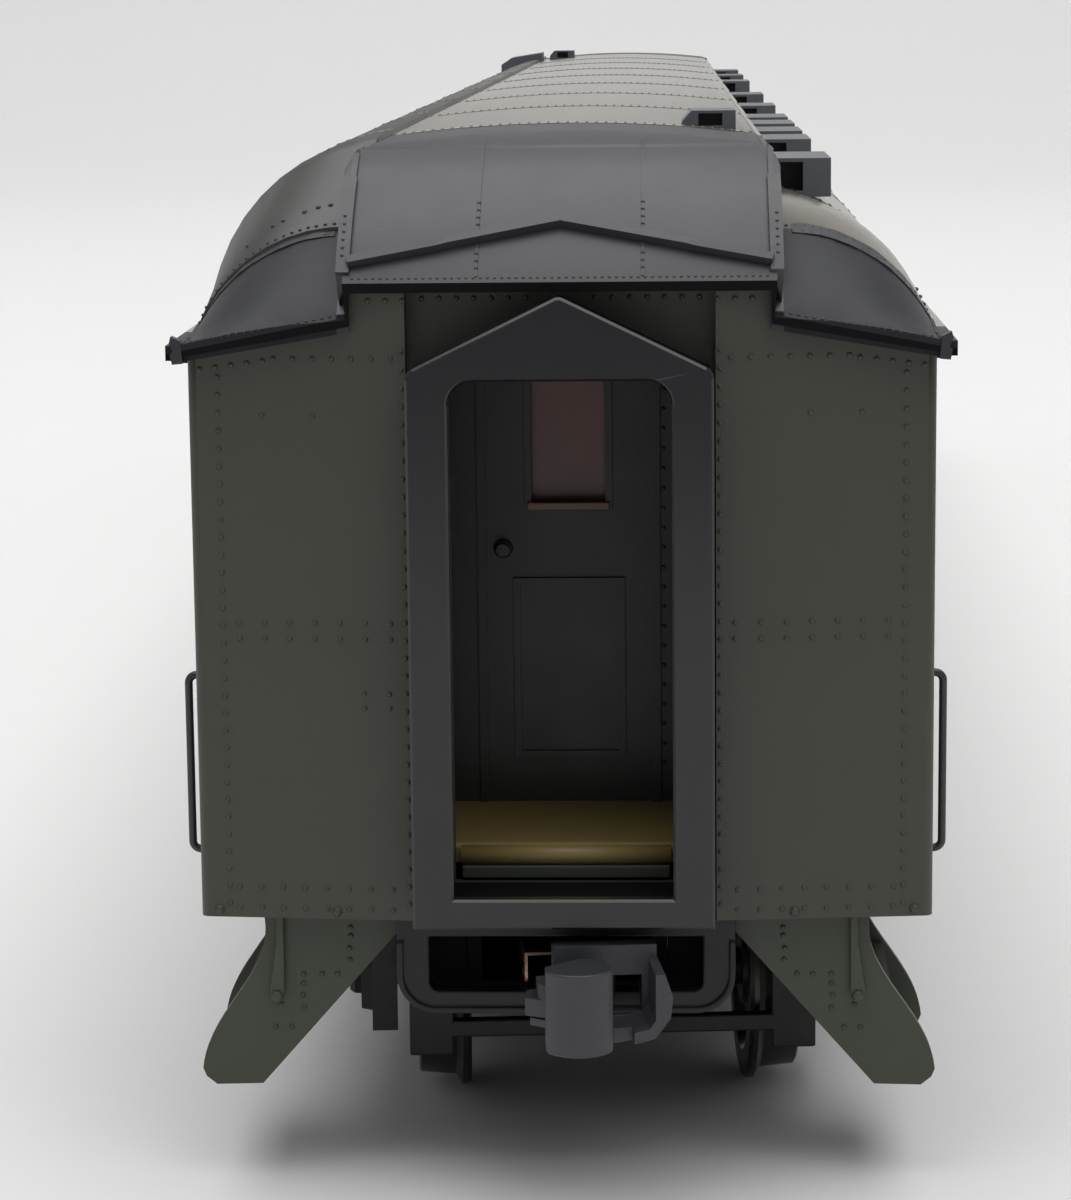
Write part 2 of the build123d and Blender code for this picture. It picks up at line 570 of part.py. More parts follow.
# ------------------------------------------------------------------ diaphragm: face plate and bellows
with BuildPart() as face_plate_front:
    with BuildSketch(across(FACE_FRONT)):
        with BuildLine():
            Polyline(*house_outline(0, FACE_BOTTOM), close=True)
        make_face()
        fillet(vertices().group_by(Axis.Y)[1], 0.6)
        fillet(vertices().group_by(Axis.Y)[-1], 0.5)
        with BuildLine():
            Polyline((-GANGWAY_X, GANGWAY_SILL), (-GANGWAY_X, GANGWAY_TOP), (GANGWAY_X, GANGWAY_TOP),
                     (GANGWAY_X, GANGWAY_SILL), close=True)
        make_face(mode=Mode.SUBTRACT)
    extrude(amount=-FACE_THICK)
    opening_corners = face_plate_front.edges().filter_by(Axis.Y).filter_by(
        lambda e: abs(abs(e.center().X) - GANGWAY_X) < 0.01 and e.center().Z > GANGWAY_TOP - 0.1
    )
    fillet(opening_corners, 1.1)
    rim = face_plate_front.faces().sort_by(Axis.Y)[0].edges()
    chamfer(rim, 0.12)
    pin_span = (y_at(FACE_BACK), y_at(RECESS_DEPTH + SHEET + 0.5))
    rod(PIN_R, (0, pin_span[0], UPPER_PIN_Z), (0, pin_span[1], UPPER_PIN_Z))
    for hand in (-1, 1):
        pin_x = hand * LOWER_PIN[0]
        rod(PIN_R, (pin_x, pin_span[0], LOWER_PIN[1]), (pin_x, pin_span[1], LOWER_PIN[1]))
face_plate_front.part.label = "face_plate_front"
export_step(face_plate_front.part, "parts/face_plate_front.step")

with BuildPart() as face_plate_rear:
    add(face_plate_front.part, rotation=(0, 0, 180))
face_plate_rear.part.label = "face_plate_rear"
export_step(face_plate_rear.part, "parts/face_plate_rear.step")

PLEATS = 3
PLEAT = 0.5
BELLOWS_BOTTOM = 14.95
bellows_length = RECESS_DEPTH - FACE_BACK
with BuildPart() as bellows_front:
    with BuildSketch(across(FACE_BACK)):
        with BuildLine():
            Polyline(*house_outline(0.8, BELLOWS_BOTTOM), close=True)
        make_face()
    extrude(amount=-bellows_length)
    for pleat in range(PLEATS):
        pleat_depth = FACE_BACK + pleat * (bellows_length - PLEAT) / (PLEATS - 1)
        with BuildSketch(across(pleat_depth)):
            with BuildLine():
                Polyline(*house_outline(0.15, BELLOWS_BOTTOM), close=True)
            make_face()
        extrude(amount=-PLEAT)
    with BuildSketch(across(FACE_BACK - 1)):
        with Locations((0, (GANGWAY_TOP + 10) / 2)):
            Rectangle(2 * GANGWAY_X + 0.5, GANGWAY_TOP - 10 + 0.5)
        with Locations((0, UPPER_PIN_Z)):
            Circle(PIN_R + 0.15)
    extrude(amount=-(bellows_length + 2), mode=Mode.SUBTRACT)
bellows_front.part.label = "bellows_front"
export_step(bellows_front.part, "parts/bellows_front.step")

with BuildPart() as bellows_rear:
    add(bellows_front.part, rotation=(0, 0, 180))
bellows_rear.part.label = "bellows_rear"
export_step(bellows_rear.part, "parts/bellows_rear.step")

# ------------------------------------------------------------------ equipment below the floor
with BuildPart() as battery_boxes:
    for box_y in (-31.5, -10.5):
        slab(-15.4, -6.8, box_y - 9.5, box_y + 9.5, 5.6, DECK[0])
        slab(-15.6, -15.4, box_y - 8.6, box_y - 0.5, 6.4, 11.6)
        slab(-15.6, -15.4, box_y + 0.5, box_y + 8.6, 6.4, 11.6)
battery_boxes.part.label = "battery_boxes"
export_step(battery_boxes.part, "parts/battery_boxes.step")

TANKS = ((14, 17.0), (33, 15.0))      # middle and length
with BuildPart() as air_reservoirs:
    for tank_y, tank_length in TANKS:
        with Locations((-11.2, tank_y, 9.3)):
            Cylinder(2.4, tank_length, rotation=(90, 0, 0))
    fillet(air_reservoirs.edges().filter_by(GeomType.CIRCLE), 0.9)
    for tank_y, tank_length in TANKS:
        for hanger_y in (tank_y - tank_length / 3, tank_y + tank_length / 3):
            slab(-13.7, -8.7, hanger_y - 0.5, hanger_y + 0.5, 9.3, DECK[0])
air_reservoirs.part.label = "air_reservoirs"
export_step(air_reservoirs.part, "parts/air_reservoirs.step")

with BuildPart() as brake_cylinder:
    rod(2.5, (8.4, 50, 9.4), (8.4, 58, 9.4))
    rod(1.9, (8.4, 48.4, 9.4), (8.4, 50, 9.4))
    rod(0.45, (8.4, 42.5, 9.4), (8.4, 48.6, 9.4))
    slab(6.6, 10.2, 51, 57, 9.4, DECK[0])
brake_cylinder.part.label = "brake_cylinder"
export_step(brake_cylinder.part, "parts/brake_cylinder.step")

with BuildPart() as water_tank:
    rod(3.1, (11.2, -38, 9.0), (11.2, -4, 9.0))
    tank_rims = water_tank.edges().filter_by(GeomType.CIRCLE)
    fillet(tank_rims, 0.8)
    for strap_y in (-33, -21, -9):
        slab(7.9, 14.5, strap_y - 0.6, strap_y + 0.6, 9.0, DECK[0])
water_tank.part.label = "water_tank"
export_step(water_tank.part, "parts/water_tank.step")

with BuildPart() as cooling_unit:
    slab(6.4, 15.5, 4, 34, 5.4, DECK[0])
    for louvre in range(9):
        louvre_z = 6.4 + louvre * 0.6
        slab(15.5, 15.7, 6, 32, louvre_z, louvre_z + 0.25)
cooling_unit.part.label = "cooling_unit"
export_step(cooling_unit.part, "parts/cooling_unit.step")

with BuildPart() as brake_rods:
    for rod_x in (-4.2, 4.2):
        rod(0.35, (rod_x, -68, 10.2), (rod_x, 68, 10.2))
        for hanger_y in (-66, 0, 66):
            slab(rod_x - 0.3, rod_x + 0.3, hanger_y - 1.3, hanger_y - 0.7, 10.2, DECK[0])
brake_rods.part.label = "brake_rods"
export_step(brake_rods.part, "parts/brake_rods.step")

# ------------------------------------------------------------------ roof
LIP_Z = (39.9, 40.4)
DECK_MEETS_Z = 47.0
HOOD_LIP = 43.35
ROOF_FULL_DEPTH = 16.0
roof_sections = (
    # depth, lip top, point on the curve, inner end of the curve
    (HOOD_FRONT, 40.95, (13.9, 41.75), (9.9, 42.1)),
    (6.0, LIP_Z[1], (15.5, 43.95), (CLERESTORY_X - 0.1, 45.7)),
    (ROOF_FULL_DEPTH, LIP_Z[1], (15.3, 44.6), (CLERESTORY_X - 0.2, DECK_MEETS_Z)),
)


last_section = (LENGTH - ROOF_FULL_DEPTH, *roof_sections[-1][1:])
with BuildPart() as lower_deck:
    for stretch in (roof_sections, (roof_sections[-1], last_section)):
        for depth, lip_top, (curve_x, curve_z), (end_x, end_z) in stretch:
            with BuildSketch(across(depth)):
                with BuildLine():
                    Polyline((-ROOF_LIP_X, lip_top), (-ROOF_LIP_X, LIP_Z[0]), (ROOF_LIP_X, LIP_Z[0]),
                             (ROOF_LIP_X, lip_top))
                    ThreePointArc((ROOF_LIP_X, lip_top), (curve_x, curve_z), (end_x, end_z))
                    Line((end_x, end_z), (-end_x, end_z))
                    ThreePointArc((-end_x, end_z), (-curve_x, curve_z), (-ROOF_LIP_X, lip_top))
                make_face()
        loft()
    mirror(about=Plane.XZ)

with BuildPart() as upper_deck:
    with BuildSketch(across(HOOD_FRONT)):
        with BuildLine():
            Polyline((-CLERESTORY_X, 48.7), (-CLERESTORY_X + 0.65, LIP_Z[0]), (CLERESTORY_X - 0.65, LIP_Z[0]),
                     (CLERESTORY_X, 48.7))
            ThreePointArc((CLERESTORY_X, 48.7), (CLERESTORY_X - 0.4, 49.4), (CLERESTORY_X - 1.3, 49.75))
            ThreePointArc((CLERESTORY_X - 1.3, 49.75), (0, ROOF_TOP), (-CLERESTORY_X + 1.3, 49.75))
            ThreePointArc((-CLERESTORY_X + 1.3, 49.75), (-CLERESTORY_X + 0.4, 49.4), (-CLERESTORY_X, 48.7))
        make_face()
    extrude(amount=-(LENGTH - 2 * HOOD_FRONT))
    hood_y = y_at(HOOD_FRONT)
    with BuildSketch(along(0)):
        with BuildLine():
            Polyline((hood_y, HOOD_LIP), (hood_y, HOOD_LIP - 4), (-hood_y, HOOD_LIP - 4), (-hood_y, HOOD_LIP + 0.45))
            ThreePointArc((-hood_y, HOOD_LIP + 0.45), (-y_at(3.2), 47.45), (-y_at(10.5), ROOF_TOP))
            Line((-y_at(10.5), ROOF_TOP), (y_at(10.5), ROOF_TOP))
            ThreePointArc((y_at(10.5), ROOF_TOP), (y_at(3.2), 47.45), (hood_y, HOOD_LIP + 0.45))
            Line((hood_y, HOOD_LIP + 0.45), (hood_y, HOOD_LIP))
        make_face()
    extrude(amount=CLERESTORY_X + 1, both=True, mode=Mode.INTERSECT)

# room for the end sheets, the vestibule ceilings and the hollow above the passengers
with BuildPart() as roof_hollow:
    with BuildSketch(across(HOOD_FRONT - 1)):
        with BuildLine():
            Polyline((0, 30), (SIDE_X + 2, 30), (SIDE_X + 2, end_slope[0][1]), end_slope[0], end_slope[1],
                     (WING_X, HOOD_LIP), (0, HOOD_LIP), close=True)
        make_face()
        mirror(about=Plane.YZ)
    extrude(amount=-(RECESS_DEPTH + SHEET - HOOD_FRONT + 1))
    # in front of the end sheet the wings' lower edge is thin and stands clear of the sheet
    with BuildSketch(across(HOOD_FRONT - 1)):
        with BuildLine():
            Polyline((0, 30), (SIDE_X + 2, 30), (SIDE_X + 2, 40.35), (SIDE_X, 40.45), (WING_X, 41.8),
                     (0, 41.8), close=True)
        make_face()
        mirror(about=Plane.YZ)
    extrude(amount=-(1 - BOW - HOOD_FRONT))
    slab(-8.5, 8.5, y_at(RECESS_DEPTH + SHEET - 0.1), y_at(14), LIP_Z[0] - 1, HOOD_LIP)
    mirror(about=Plane.XZ)
    with BuildSketch(across(13)):
        with BuildLine():
            Polyline((0, LIP_Z[0] - 1), (INNER_X, LIP_Z[0] - 1), (INNER_X, 40.6), (14.3, 43.6), (CLERESTORY_X - 1.2, 45.7),
                     (CLERESTORY_X - 1.2, 48.9), (0, 49.3), close=True)
        make_face()
        mirror(about=Plane.YZ)
    extrude(amount=-(LENGTH - 26))

GUTTER_DEPTHS = (-1.0, 21.0)
with BuildPart() as roof:
    add(lower_deck.part)
    add(upper_deck.part)
    add(roof_hollow.part, mode=Mode.SUBTRACT)
    for hand in (-1, 1):
        gutter_x = sorted((hand * (ROOF_LIP_X - 0.4), hand * (ROOF_LIP_X + 0.4)))
        for end in (-1, 1):
            gutter_y = sorted((end * -y_at(GUTTER_DEPTHS[0]), end * -y_at(GUTTER_DEPTHS[1])))
            slab(*gutter_x, *gutter_y, 40.25, 40.95)
roof.part.label = "roof"
export_step(roof.part, "parts/roof.step")

# ------------------------------------------------------------------ cooling duct along the left of the roof
FAIRING_DEPTHS = (6.2, 13.0)      # the duct swells out of the roof between these depths, at both ends
duct_sections = (
    # depth, points of the outer arc, inner corners
    (FAIRING_DEPTHS[0],
     ((-17.85, 41.0), (-15.65, 44.1), (-10.2, 45.95)), ((-8.6, 44.5), (-12, 41), (-17, 40.5))),
    (FAIRING_DEPTHS[1],
     ((-17.97, 41.0), (-14.9, 47.5), (-9.4, 50.0)), ((-8.6, 46.0), (-12, 42), (-17, 40.6))),
)
last_duct_section = (LENGTH / 2, *duct_sections[1][1:])
with BuildPart() as cooling_duct:
    for stretch in (duct_sections, (duct_sections[1], last_duct_section)):
        for depth, arc, inner in stretch:
            with BuildSketch(across(depth)):
                with BuildLine():
                    ThreePointArc(*arc)
                    Polyline(arc[2], *inner, arc[0])
                make_face()
        loft()
    mirror(about=Plane.XZ)
    add(lower_deck.part, mode=Mode.SUBTRACT)
    add(upper_deck.part, mode=Mode.SUBTRACT)
cooling_duct.part.label = "cooling_duct"
export_step(cooling_duct.part, "parts/cooling_duct.step")

# ------------------------------------------------------------------ roof vents
SIDE_VENT_FRONTS = (20.5, 45.5, 58.5, 71.5, 84.5, 112, 145, 195, 223, 250)
SIDE_VENT_LENGTH = 8.0
VENT_X = 13.5
VENT_Z = (46.4, 48.4)
with BuildPart() as side_vents:
    for front in SIDE_VENT_FRONTS:
        with BuildSketch(across(front)):
            with BuildLine():
                Polyline((10.0, 46.6), (12.2, VENT_Z[0]), (VENT_X, VENT_Z[0]), (VENT_X, VENT_Z[1]),
                         (10.0, VENT_Z[1]), close=True)
            make_face()
        extrude(amount=-SIDE_VENT_LENGTH)
        mouth_z = (VENT_Z[0] + 0.3, VENT_Z[1] - 0.2)
        slab(10.3, 12.05, y_at(front - 1), y_at(front + 2.4), *mouth_z, mode=Mode.SUBTRACT)
    add(upper_deck.part, mode=Mode.SUBTRACT)
    add(lower_deck.part, mode=Mode.SUBTRACT)
side_vents.part.label = "side_vents"
export_step(side_vents.part, "parts/side_vents.step")

TOP_VENTS = ((7.2, 22), (-7.0, 250))      # middle x and depth of the front face
with BuildPart() as top_vents:
    for vent_x, front in TOP_VENTS:
        with BuildSketch(across(front)):
            with BuildLine():
                Polyline((vent_x - 1.4, 49.6), (vent_x + 1.4, 49.6), (vent_x + 1.4, 50.85), (vent_x - 0.9, 50.85),
                         (vent_x - 1.4, 50.3), close=True)
            make_face()
        extrude(amount=-4.0)
        slab(vent_x - 0.55, vent_x + 0.7, y_at(front - 1), y_at(front + 1.4), 50.05, 50.7, mode=Mode.SUBTRACT)
    # a hatch on the duct, near its rear end
    with BuildSketch(across(244)):
        with BuildLine():
            Polyline((-13.8, 47.6), (-9.2, 49.4), (-9.2, 50.7), (-12.6, 50.2), (-13.8, 49.4), close=True)
        make_face()
    extrude(amount=-9)
    add(upper_deck.part, mode=Mode.SUBTRACT)
    add(cooling_duct.part, mode=Mode.SUBTRACT)
top_vents.part.label = "top_vents"
export_step(top_vents.part, "parts/top_vents.step")

# ------------------------------------------------------------------ six-wheel trucks
BEAM_Z = (9.2, 10.9)
TRUCK_BOSS_TOP = 11.9
SHOE_GAP = 0.35
axle_offsets = (-AXLE_PITCH, 0.0, AXLE_PITCH)
journal_x = TRUCK_SIDE_X + 0.9
HANGER_X = (8.2, 10.4)
END_BEAM_Z = (4.4, 5.3)

with BuildPart() as truck_frame:
    for offset in (-AXLE_PITCH / 2, AXLE_PITCH / 2):
        cross_y = TRUCK_Y + offset
        slab(-TRUCK_SIDE_X, TRUCK_SIDE_X, cross_y - 1.9, cross_y + 1.9, 6.6, BEAM_Z[1] - 0.4)
    slab(-3.2, 3.2, TRUCK_Y - AXLE_PITCH / 2, TRUCK_Y + AXLE_PITCH / 2, *BEAM_Z)
    rod(3.0, (0, TRUCK_Y, BEAM_Z[0]), (0, TRUCK_Y, TRUCK_BOSS_TOP))
    for end in (-1, 1):
        beam_y = sorted((TRUCK_Y + end * 25.6, TRUCK_Y + end * 26.3))
        arm_y = sorted((TRUCK_Y + end * 21.6, TRUCK_Y + end * 26.3))
        slab(-HANGER_X[1], HANGER_X[1], *beam_y, *END_BEAM_Z)
        for hand in (-1, 1):
            slab(*sorted((hand * 10.2, hand * TRUCK_SIDE_X)), *arm_y, 7.5, 8.4)
            slab(*sorted((hand * HANGER_X[0], hand * HANGER_X[1])), *beam_y, 3.5, 9.1)
    rod(KING_PIN_R + RUNNING_FIT, (0, TRUCK_Y, 5), (0, TRUCK_Y, 13), mode=Mode.SUBTRACT)

# lower edge of half a side frame: distance from the truck's centre, height
half_frame = [(0, 3.4), (1.95, 3.4), (2.1, 6.7), (5.6, 6.9), (6.4, 4.6), (AXLE_PITCH / 2, 4.2), (12.85, 4.6),
              (13.65, 6.9), (17.15, 6.7), (17.3, 3.4), (21.2, 3.4), (21.4, 6.9), (22.7, 6.9), (22.9, 4.3),
              (24.4, 4.3), (24.4, 9.6), (16.0, 9.2), (0, 9.2)]
frame_outline = [(TRUCK_Y + u, z) for u, z in half_frame]
frame_outline += [(TRUCK_Y - u, z) for u, z in reversed(half_frame[1:-1])]
JOURNAL_BOX = (3.1, 3.0)
SPRING_R = 0.95
with BuildPart() as truck_sides:
    with BuildSketch(along(TRUCK_SIDE_X)):
        with BuildLine():
            Polyline(*frame_outline, close=True)
        make_face()
    extrude(amount=TRUCK_SIDE_THICK)
    outer_face_x = TRUCK_SIDE_X + TRUCK_SIDE_THICK
    with BuildSketch(along(outer_face_x)):
        with Locations(*[(TRUCK_Y + offset, AXLE_Z - 0.2) for offset in axle_offsets]):
            RectangleRounded(*JOURNAL_BOX, 0.5)
    extrude(amount=0.6, taper=12)
    with BuildSketch(along(outer_face_x)):
        for hand in (-1, 1):
            with BuildLine():
                Polyline((TRUCK_Y + hand * 1.6, 8.3), (TRUCK_Y + hand * 4.4, 5.7), (TRUCK_Y + hand * 14.8, 5.7),
                         (TRUCK_Y + hand * 17.6, 8.3), (TRUCK_Y + hand * 16.6, 8.3), (TRUCK_Y + hand * 14.4, 6.5),
                         (TRUCK_Y + hand * 4.8, 6.5), (TRUCK_Y + hand * 2.6, 8.3), close=True)
            make_face()
    extrude(amount=0.3)
    for offset in (-13.1, -6.15, 6.15, 13.1):
        with Locations((outer_face_x - 0.1, TRUCK_Y + offset, 7.5)):
            Cylinder(SPRING_R, 2.0)
    for offset in axle_offsets:
        rod(JOURNAL_R + RUNNING_FIT, (TRUCK_SIDE_X - 1, TRUCK_Y + offset, AXLE_Z),
            (journal_x, TRUCK_Y + offset, AXLE_Z), mode=Mode.SUBTRACT)
    mirror(about=Plane.YZ)

SHOE_ANGLES = (-24, 24)       # a shoe spans these angles above and below its wheel's middle
with BuildPart() as brake_shoes:
    for offset, facings in ((-AXLE_PITCH, (1,)), (0, (-1, 1)), (AXLE_PITCH, (-1,))):
        for facing in facings:
            shoe_y = TRUCK_Y + offset
            inner_r, outer_r = TREAD_R + SHOE_GAP, TREAD_R + SHOE_GAP + 0.8
            arc_points = {}
            for radius in (inner_r, outer_r):
                arc_points[radius] = [
                    (shoe_y + facing * radius * cos(radians(angle)), AXLE_Z + radius * sin(radians(angle)))
                    for angle in (SHOE_ANGLES[0], 0, SHOE_ANGLES[1])
                ]
            with BuildSketch(along(8.3)):
                with BuildLine():
                    ThreePointArc(*arc_points[inner_r])
                    Line(arc_points[inner_r][2], arc_points[outer_r][2])
                    ThreePointArc(*reversed(arc_points[outer_r]))
                    Line(arc_points[outer_r][0], arc_points[inner_r][0])
                make_face()
            extrude(amount=1.5)
            beam = sorted((shoe_y + facing * (outer_r - 0.1), shoe_y + facing * (AXLE_PITCH / 2 - 1.9)))
            slab(8.7, 9.4, *beam, 6.9, 7.9)
    mirror(about=Plane.YZ)

# ------------------------------------------------------------------ wheelsets, and each truck turned into its place
WHEEL_IN = BACK_TO_BACK / 2
WHEEL_OUT = WHEEL_IN + WHEEL_WIDTH
truck_pieces = [
    ("truck_frame_{}", truck_frame),
    ("truck_sides_{}", truck_sides),
    ("brake_shoes_{}", brake_shoes),
]
for number, offset in enumerate(axle_offsets, start=1):
    axle_y = TRUCK_Y + offset
    with BuildPart() as wheels:
        with BuildSketch(Plane(origin=(0, axle_y, AXLE_Z), x_dir=(1, 0, 0), z_dir=(0, -1, 0))):
            with BuildLine():
                Polyline(
                    (WHEEL_IN, AXLE_R),
                    (WHEEL_IN, 1.9),
                    (WHEEL_IN + 0.5, 2.3),
                    (WHEEL_IN + 0.5, 4.0),
                    (WHEEL_IN, 4.4),
                    (WHEEL_IN, FLANGE_R - 0.2),
                    (WHEEL_IN + 0.2, FLANGE_R),
                    (WHEEL_IN + 0.45, FLANGE_R),
                    (WHEEL_IN + 0.8, TREAD_R + 0.1),
                    (WHEEL_OUT - 0.1, TREAD_R - 0.05),
                    (WHEEL_OUT, TREAD_R - 0.2),
                    (WHEEL_OUT, 4.4),
                    (WHEEL_OUT - 0.7, 4.0),
                    (WHEEL_OUT - 0.9, 2.3),
                    (WHEEL_OUT, 1.8),
                    (WHEEL_OUT, AXLE_R),
                    close=True,
                )
            make_face()
        revolve(axis=Axis((0, axle_y, AXLE_Z), (1, 0, 0)))
        mirror(about=Plane.YZ)
    with BuildPart() as axle:
        rod(AXLE_R, (-WHEEL_OUT, axle_y, AXLE_Z), (WHEEL_OUT, axle_y, AXLE_Z))
        rod(JOURNAL_R, (-journal_x + 0.15, axle_y, AXLE_Z), (journal_x - 0.15, axle_y, AXLE_Z))
    truck_pieces += [("wheels_{}_" + str(number), wheels), ("axle_{}_" + str(number), axle)]

king_pin_axis = Axis((0, TRUCK_Y, 0), (0, 0, 1))
for pattern, straight in truck_pieces:
    with BuildPart() as front_piece:
        add(straight.part.rotate(king_pin_axis, TRUCK_SWIVEL_AT_REST))
    front_piece.part.label = pattern.format("front")
    export_step(front_piece.part, f"parts/{front_piece.part.label}.step")
    with BuildPart() as rear_piece:
        add(straight.part, rotation=(0, 0, 180))
    rear_piece.part.label = pattern.format("rear")
    export_step(rear_piece.part, f"parts/{rear_piece.part.label}.step")
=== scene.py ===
"""Looks of the HO scale passenger coach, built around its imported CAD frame.

Lengths in this script are written in millimetres, in the frame's axes, and turned into metres by
the helpers.  The front end is at -Y.  Most details belong to both ends, so they are written once
for the front and turned half a turn for the rear.
"""
import json
import math
import random

import bpy
from mathutils import Matrix, Vector
from mathutils.bvhtree import BVHTree


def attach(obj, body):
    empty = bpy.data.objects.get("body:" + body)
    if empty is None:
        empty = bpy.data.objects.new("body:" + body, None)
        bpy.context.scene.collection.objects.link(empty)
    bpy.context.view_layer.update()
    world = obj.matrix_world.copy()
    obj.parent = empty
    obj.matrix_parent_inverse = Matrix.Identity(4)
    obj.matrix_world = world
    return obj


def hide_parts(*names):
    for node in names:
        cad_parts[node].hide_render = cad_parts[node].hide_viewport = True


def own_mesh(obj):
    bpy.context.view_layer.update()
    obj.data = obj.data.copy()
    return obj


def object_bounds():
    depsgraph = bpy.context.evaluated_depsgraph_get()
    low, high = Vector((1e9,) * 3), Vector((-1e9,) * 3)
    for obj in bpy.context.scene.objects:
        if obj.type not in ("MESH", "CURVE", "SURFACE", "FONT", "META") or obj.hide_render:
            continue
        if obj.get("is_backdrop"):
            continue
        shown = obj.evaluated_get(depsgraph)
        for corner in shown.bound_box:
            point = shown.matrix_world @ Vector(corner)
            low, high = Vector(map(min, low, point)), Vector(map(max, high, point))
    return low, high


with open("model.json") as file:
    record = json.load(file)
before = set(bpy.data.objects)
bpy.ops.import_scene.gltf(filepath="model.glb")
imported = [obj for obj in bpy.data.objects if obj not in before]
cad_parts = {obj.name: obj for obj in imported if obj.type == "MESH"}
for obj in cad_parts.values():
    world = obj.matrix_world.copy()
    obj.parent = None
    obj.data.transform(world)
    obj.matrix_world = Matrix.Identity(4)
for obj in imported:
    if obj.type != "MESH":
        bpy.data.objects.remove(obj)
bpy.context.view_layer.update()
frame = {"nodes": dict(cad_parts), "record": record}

MM = 0.001
HALF = 140.0                  # the front end corners stand at Y = -HALF; depths run inward from there
WINDOW_SILL = 28.4
WINDOW_SIZE = (6.6, 8.1)
WINDOW_PAIRS = 13
WINDOW_PAIR_PITCH = 17.6
WINDOW_POST = 1.7
TRUCK_Y = 103.4
TRUCK_SWIVEL_AT_REST = math.radians(4.5)
AXLE_PITCH = 19.25
AXLE_Z = 5.9
COUPLER_Y = 132.0
COUPLER_SWING_AT_REST = math.radians(7)
CLERESTORY_X = 10.35          # half width of the upper deck
WING_SEAM = 6.1               # depths of the riveted seams behind the wings and the hood
HOOD_SEAM = 21.5
WING_EDGE_SLOPE = -0.194      # the wings' front edges fall towards the sides
WING_SHADOW_TOP = 44.15         # heights below which painted shadow darkens the turned-down front edges
HOOD_SHADOW_TOP = 43.8
GRAIN_SCALE = 5200
RANDOM = random.Random(7)
ENDS = (("front", 1), ("rear", -1))
scene = bpy.context.scene


# ------------------------------------------------------------------ materials
def linear(red, green, blue):
    """Linear colour of an sRGB colour given in steps of 0 to 255."""
    channels = []
    for value in (red, green, blue):
        share = value / 255
        channels.append(share / 12.92 if share <= 0.04045 else ((share + 0.055) / 1.055) ** 2.4)
    return (*channels, 1.0)


def moulded(name, colour, roughness, mottle=0.12, grain=0.02, metallic=0.0, specular=0.5,
            dust=0.0):
    """Painted or moulded plastic: colour drifts softly, and a fine grain breaks up the gloss."""
    material = bpy.data.materials.new(name)
    material.use_nodes = True
    nodes, links = material.node_tree.nodes, material.node_tree.links
    shader = nodes["Principled BSDF"]
    shader.inputs["Metallic"].default_value = metallic
    shader.inputs["Specular IOR Level"].default_value = specular
    place = nodes.new("ShaderNodeTexCoord")

    drift = nodes.new("ShaderNodeTexNoise")
    drift.inputs["Scale"].default_value = 130
    drift.inputs["Detail"].default_value = 4
    links.new(place.outputs["Object"], drift.inputs["Vector"])
    tint = nodes.new("ShaderNodeMix")
    tint.data_type = "RGBA"
    tint.inputs["A"].default_value = [c * (1 - mottle) for c in colour[:3]] + [1]
    tint.inputs["B"].default_value = [min(1, c * (1 + mottle)) for c in colour[:3]] + [1]
    links.new(drift.outputs["Fac"], tint.inputs["Factor"])
    final_colour = tint.outputs["Result"]

    if dust:
        specks = nodes.new("ShaderNodeTexVoronoi")
        specks.inputs["Scale"].default_value = 620
        links.new(place.outputs["Object"], specks.inputs["Vector"])
        threshold = nodes.new("ShaderNodeMath")
        threshold.operation = "LESS_THAN"
        threshold.inputs[1].default_value = 0.045
        links.new(specks.outputs["Distance"], threshold.inputs[0])
        rare = nodes.new("ShaderNodeMath")
        rare.operation = "GREATER_THAN"
        rare.inputs[1].default_value = 1 - dust
        links.new(specks.outputs["Color"], rare.inputs[0])
        both = nodes.new("ShaderNodeMath")
        both.operation = "MULTIPLY"
        links.new(threshold.outputs[0], both.inputs[0])
        links.new(rare.outputs[0], both.inputs[1])
        dusty = nodes.new("ShaderNodeMix")
        dusty.data_type = "RGBA"
        dusty.inputs["B"].default_value = (0.55, 0.55, 0.52, 1)
        links.new(both.outputs[0], dusty.inputs["Factor"])
        links.new(final_colour, dusty.inputs["A"])
        final_colour = dusty.outputs["Result"]
    links.new(final_colour, shader.inputs["Base Color"])

    patches = nodes.new("ShaderNodeTexNoise")
    patches.inputs["Scale"].default_value = 420
    patches.inputs["Detail"].default_value = 5
    links.new(place.outputs["Object"], patches.inputs["Vector"])
    gloss = nodes.new("ShaderNodeMapRange")
    gloss.inputs["To Min"].default_value = max(0.03, roughness - 0.06)
    gloss.inputs["To Max"].default_value = min(1, roughness + 0.06)
    links.new(patches.outputs["Fac"], gloss.inputs["Value"])
    links.new(gloss.outputs["Result"], shader.inputs["Roughness"])

    if grain:
        fine = nodes.new("ShaderNodeTexNoise")
        fine.inputs["Scale"].default_value = GRAIN_SCALE
        fine.inputs["Detail"].default_value = 3
        links.new(place.outputs["Object"], fine.inputs["Vector"])
        bump = nodes.new("ShaderNodeBump")
        bump.inputs["Strength"].default_value = grain * 10
        bump.inputs["Distance"].default_value = 0.00004
        links.new(fine.outputs["Fac"], bump.inputs["Height"])
        links.new(bump.outputs["Normal"], shader.inputs["Normal"])
    return material


def clear_glass(name):
    """Clear styrene glazing with a faint smoky drift."""
    material = moulded(name, (0.75, 0.8, 0.8, 1), 0.08, mottle=0.03, grain=0)
    material.node_tree.nodes["Principled BSDF"].inputs["Alpha"].default_value = 0.28
    return material


def math_node(material, operation, *values):
    """A math node fed by numbers or by other nodes' outputs."""
    node = material.node_tree.nodes.new("ShaderNodeMath")
    node.operation = operation
    for socket, value in zip(node.inputs, values):
        if isinstance(value, (int, float)):
            socket.default_value = value
        else:
            material.node_tree.links.new(value, socket)
    return node.outputs[0]


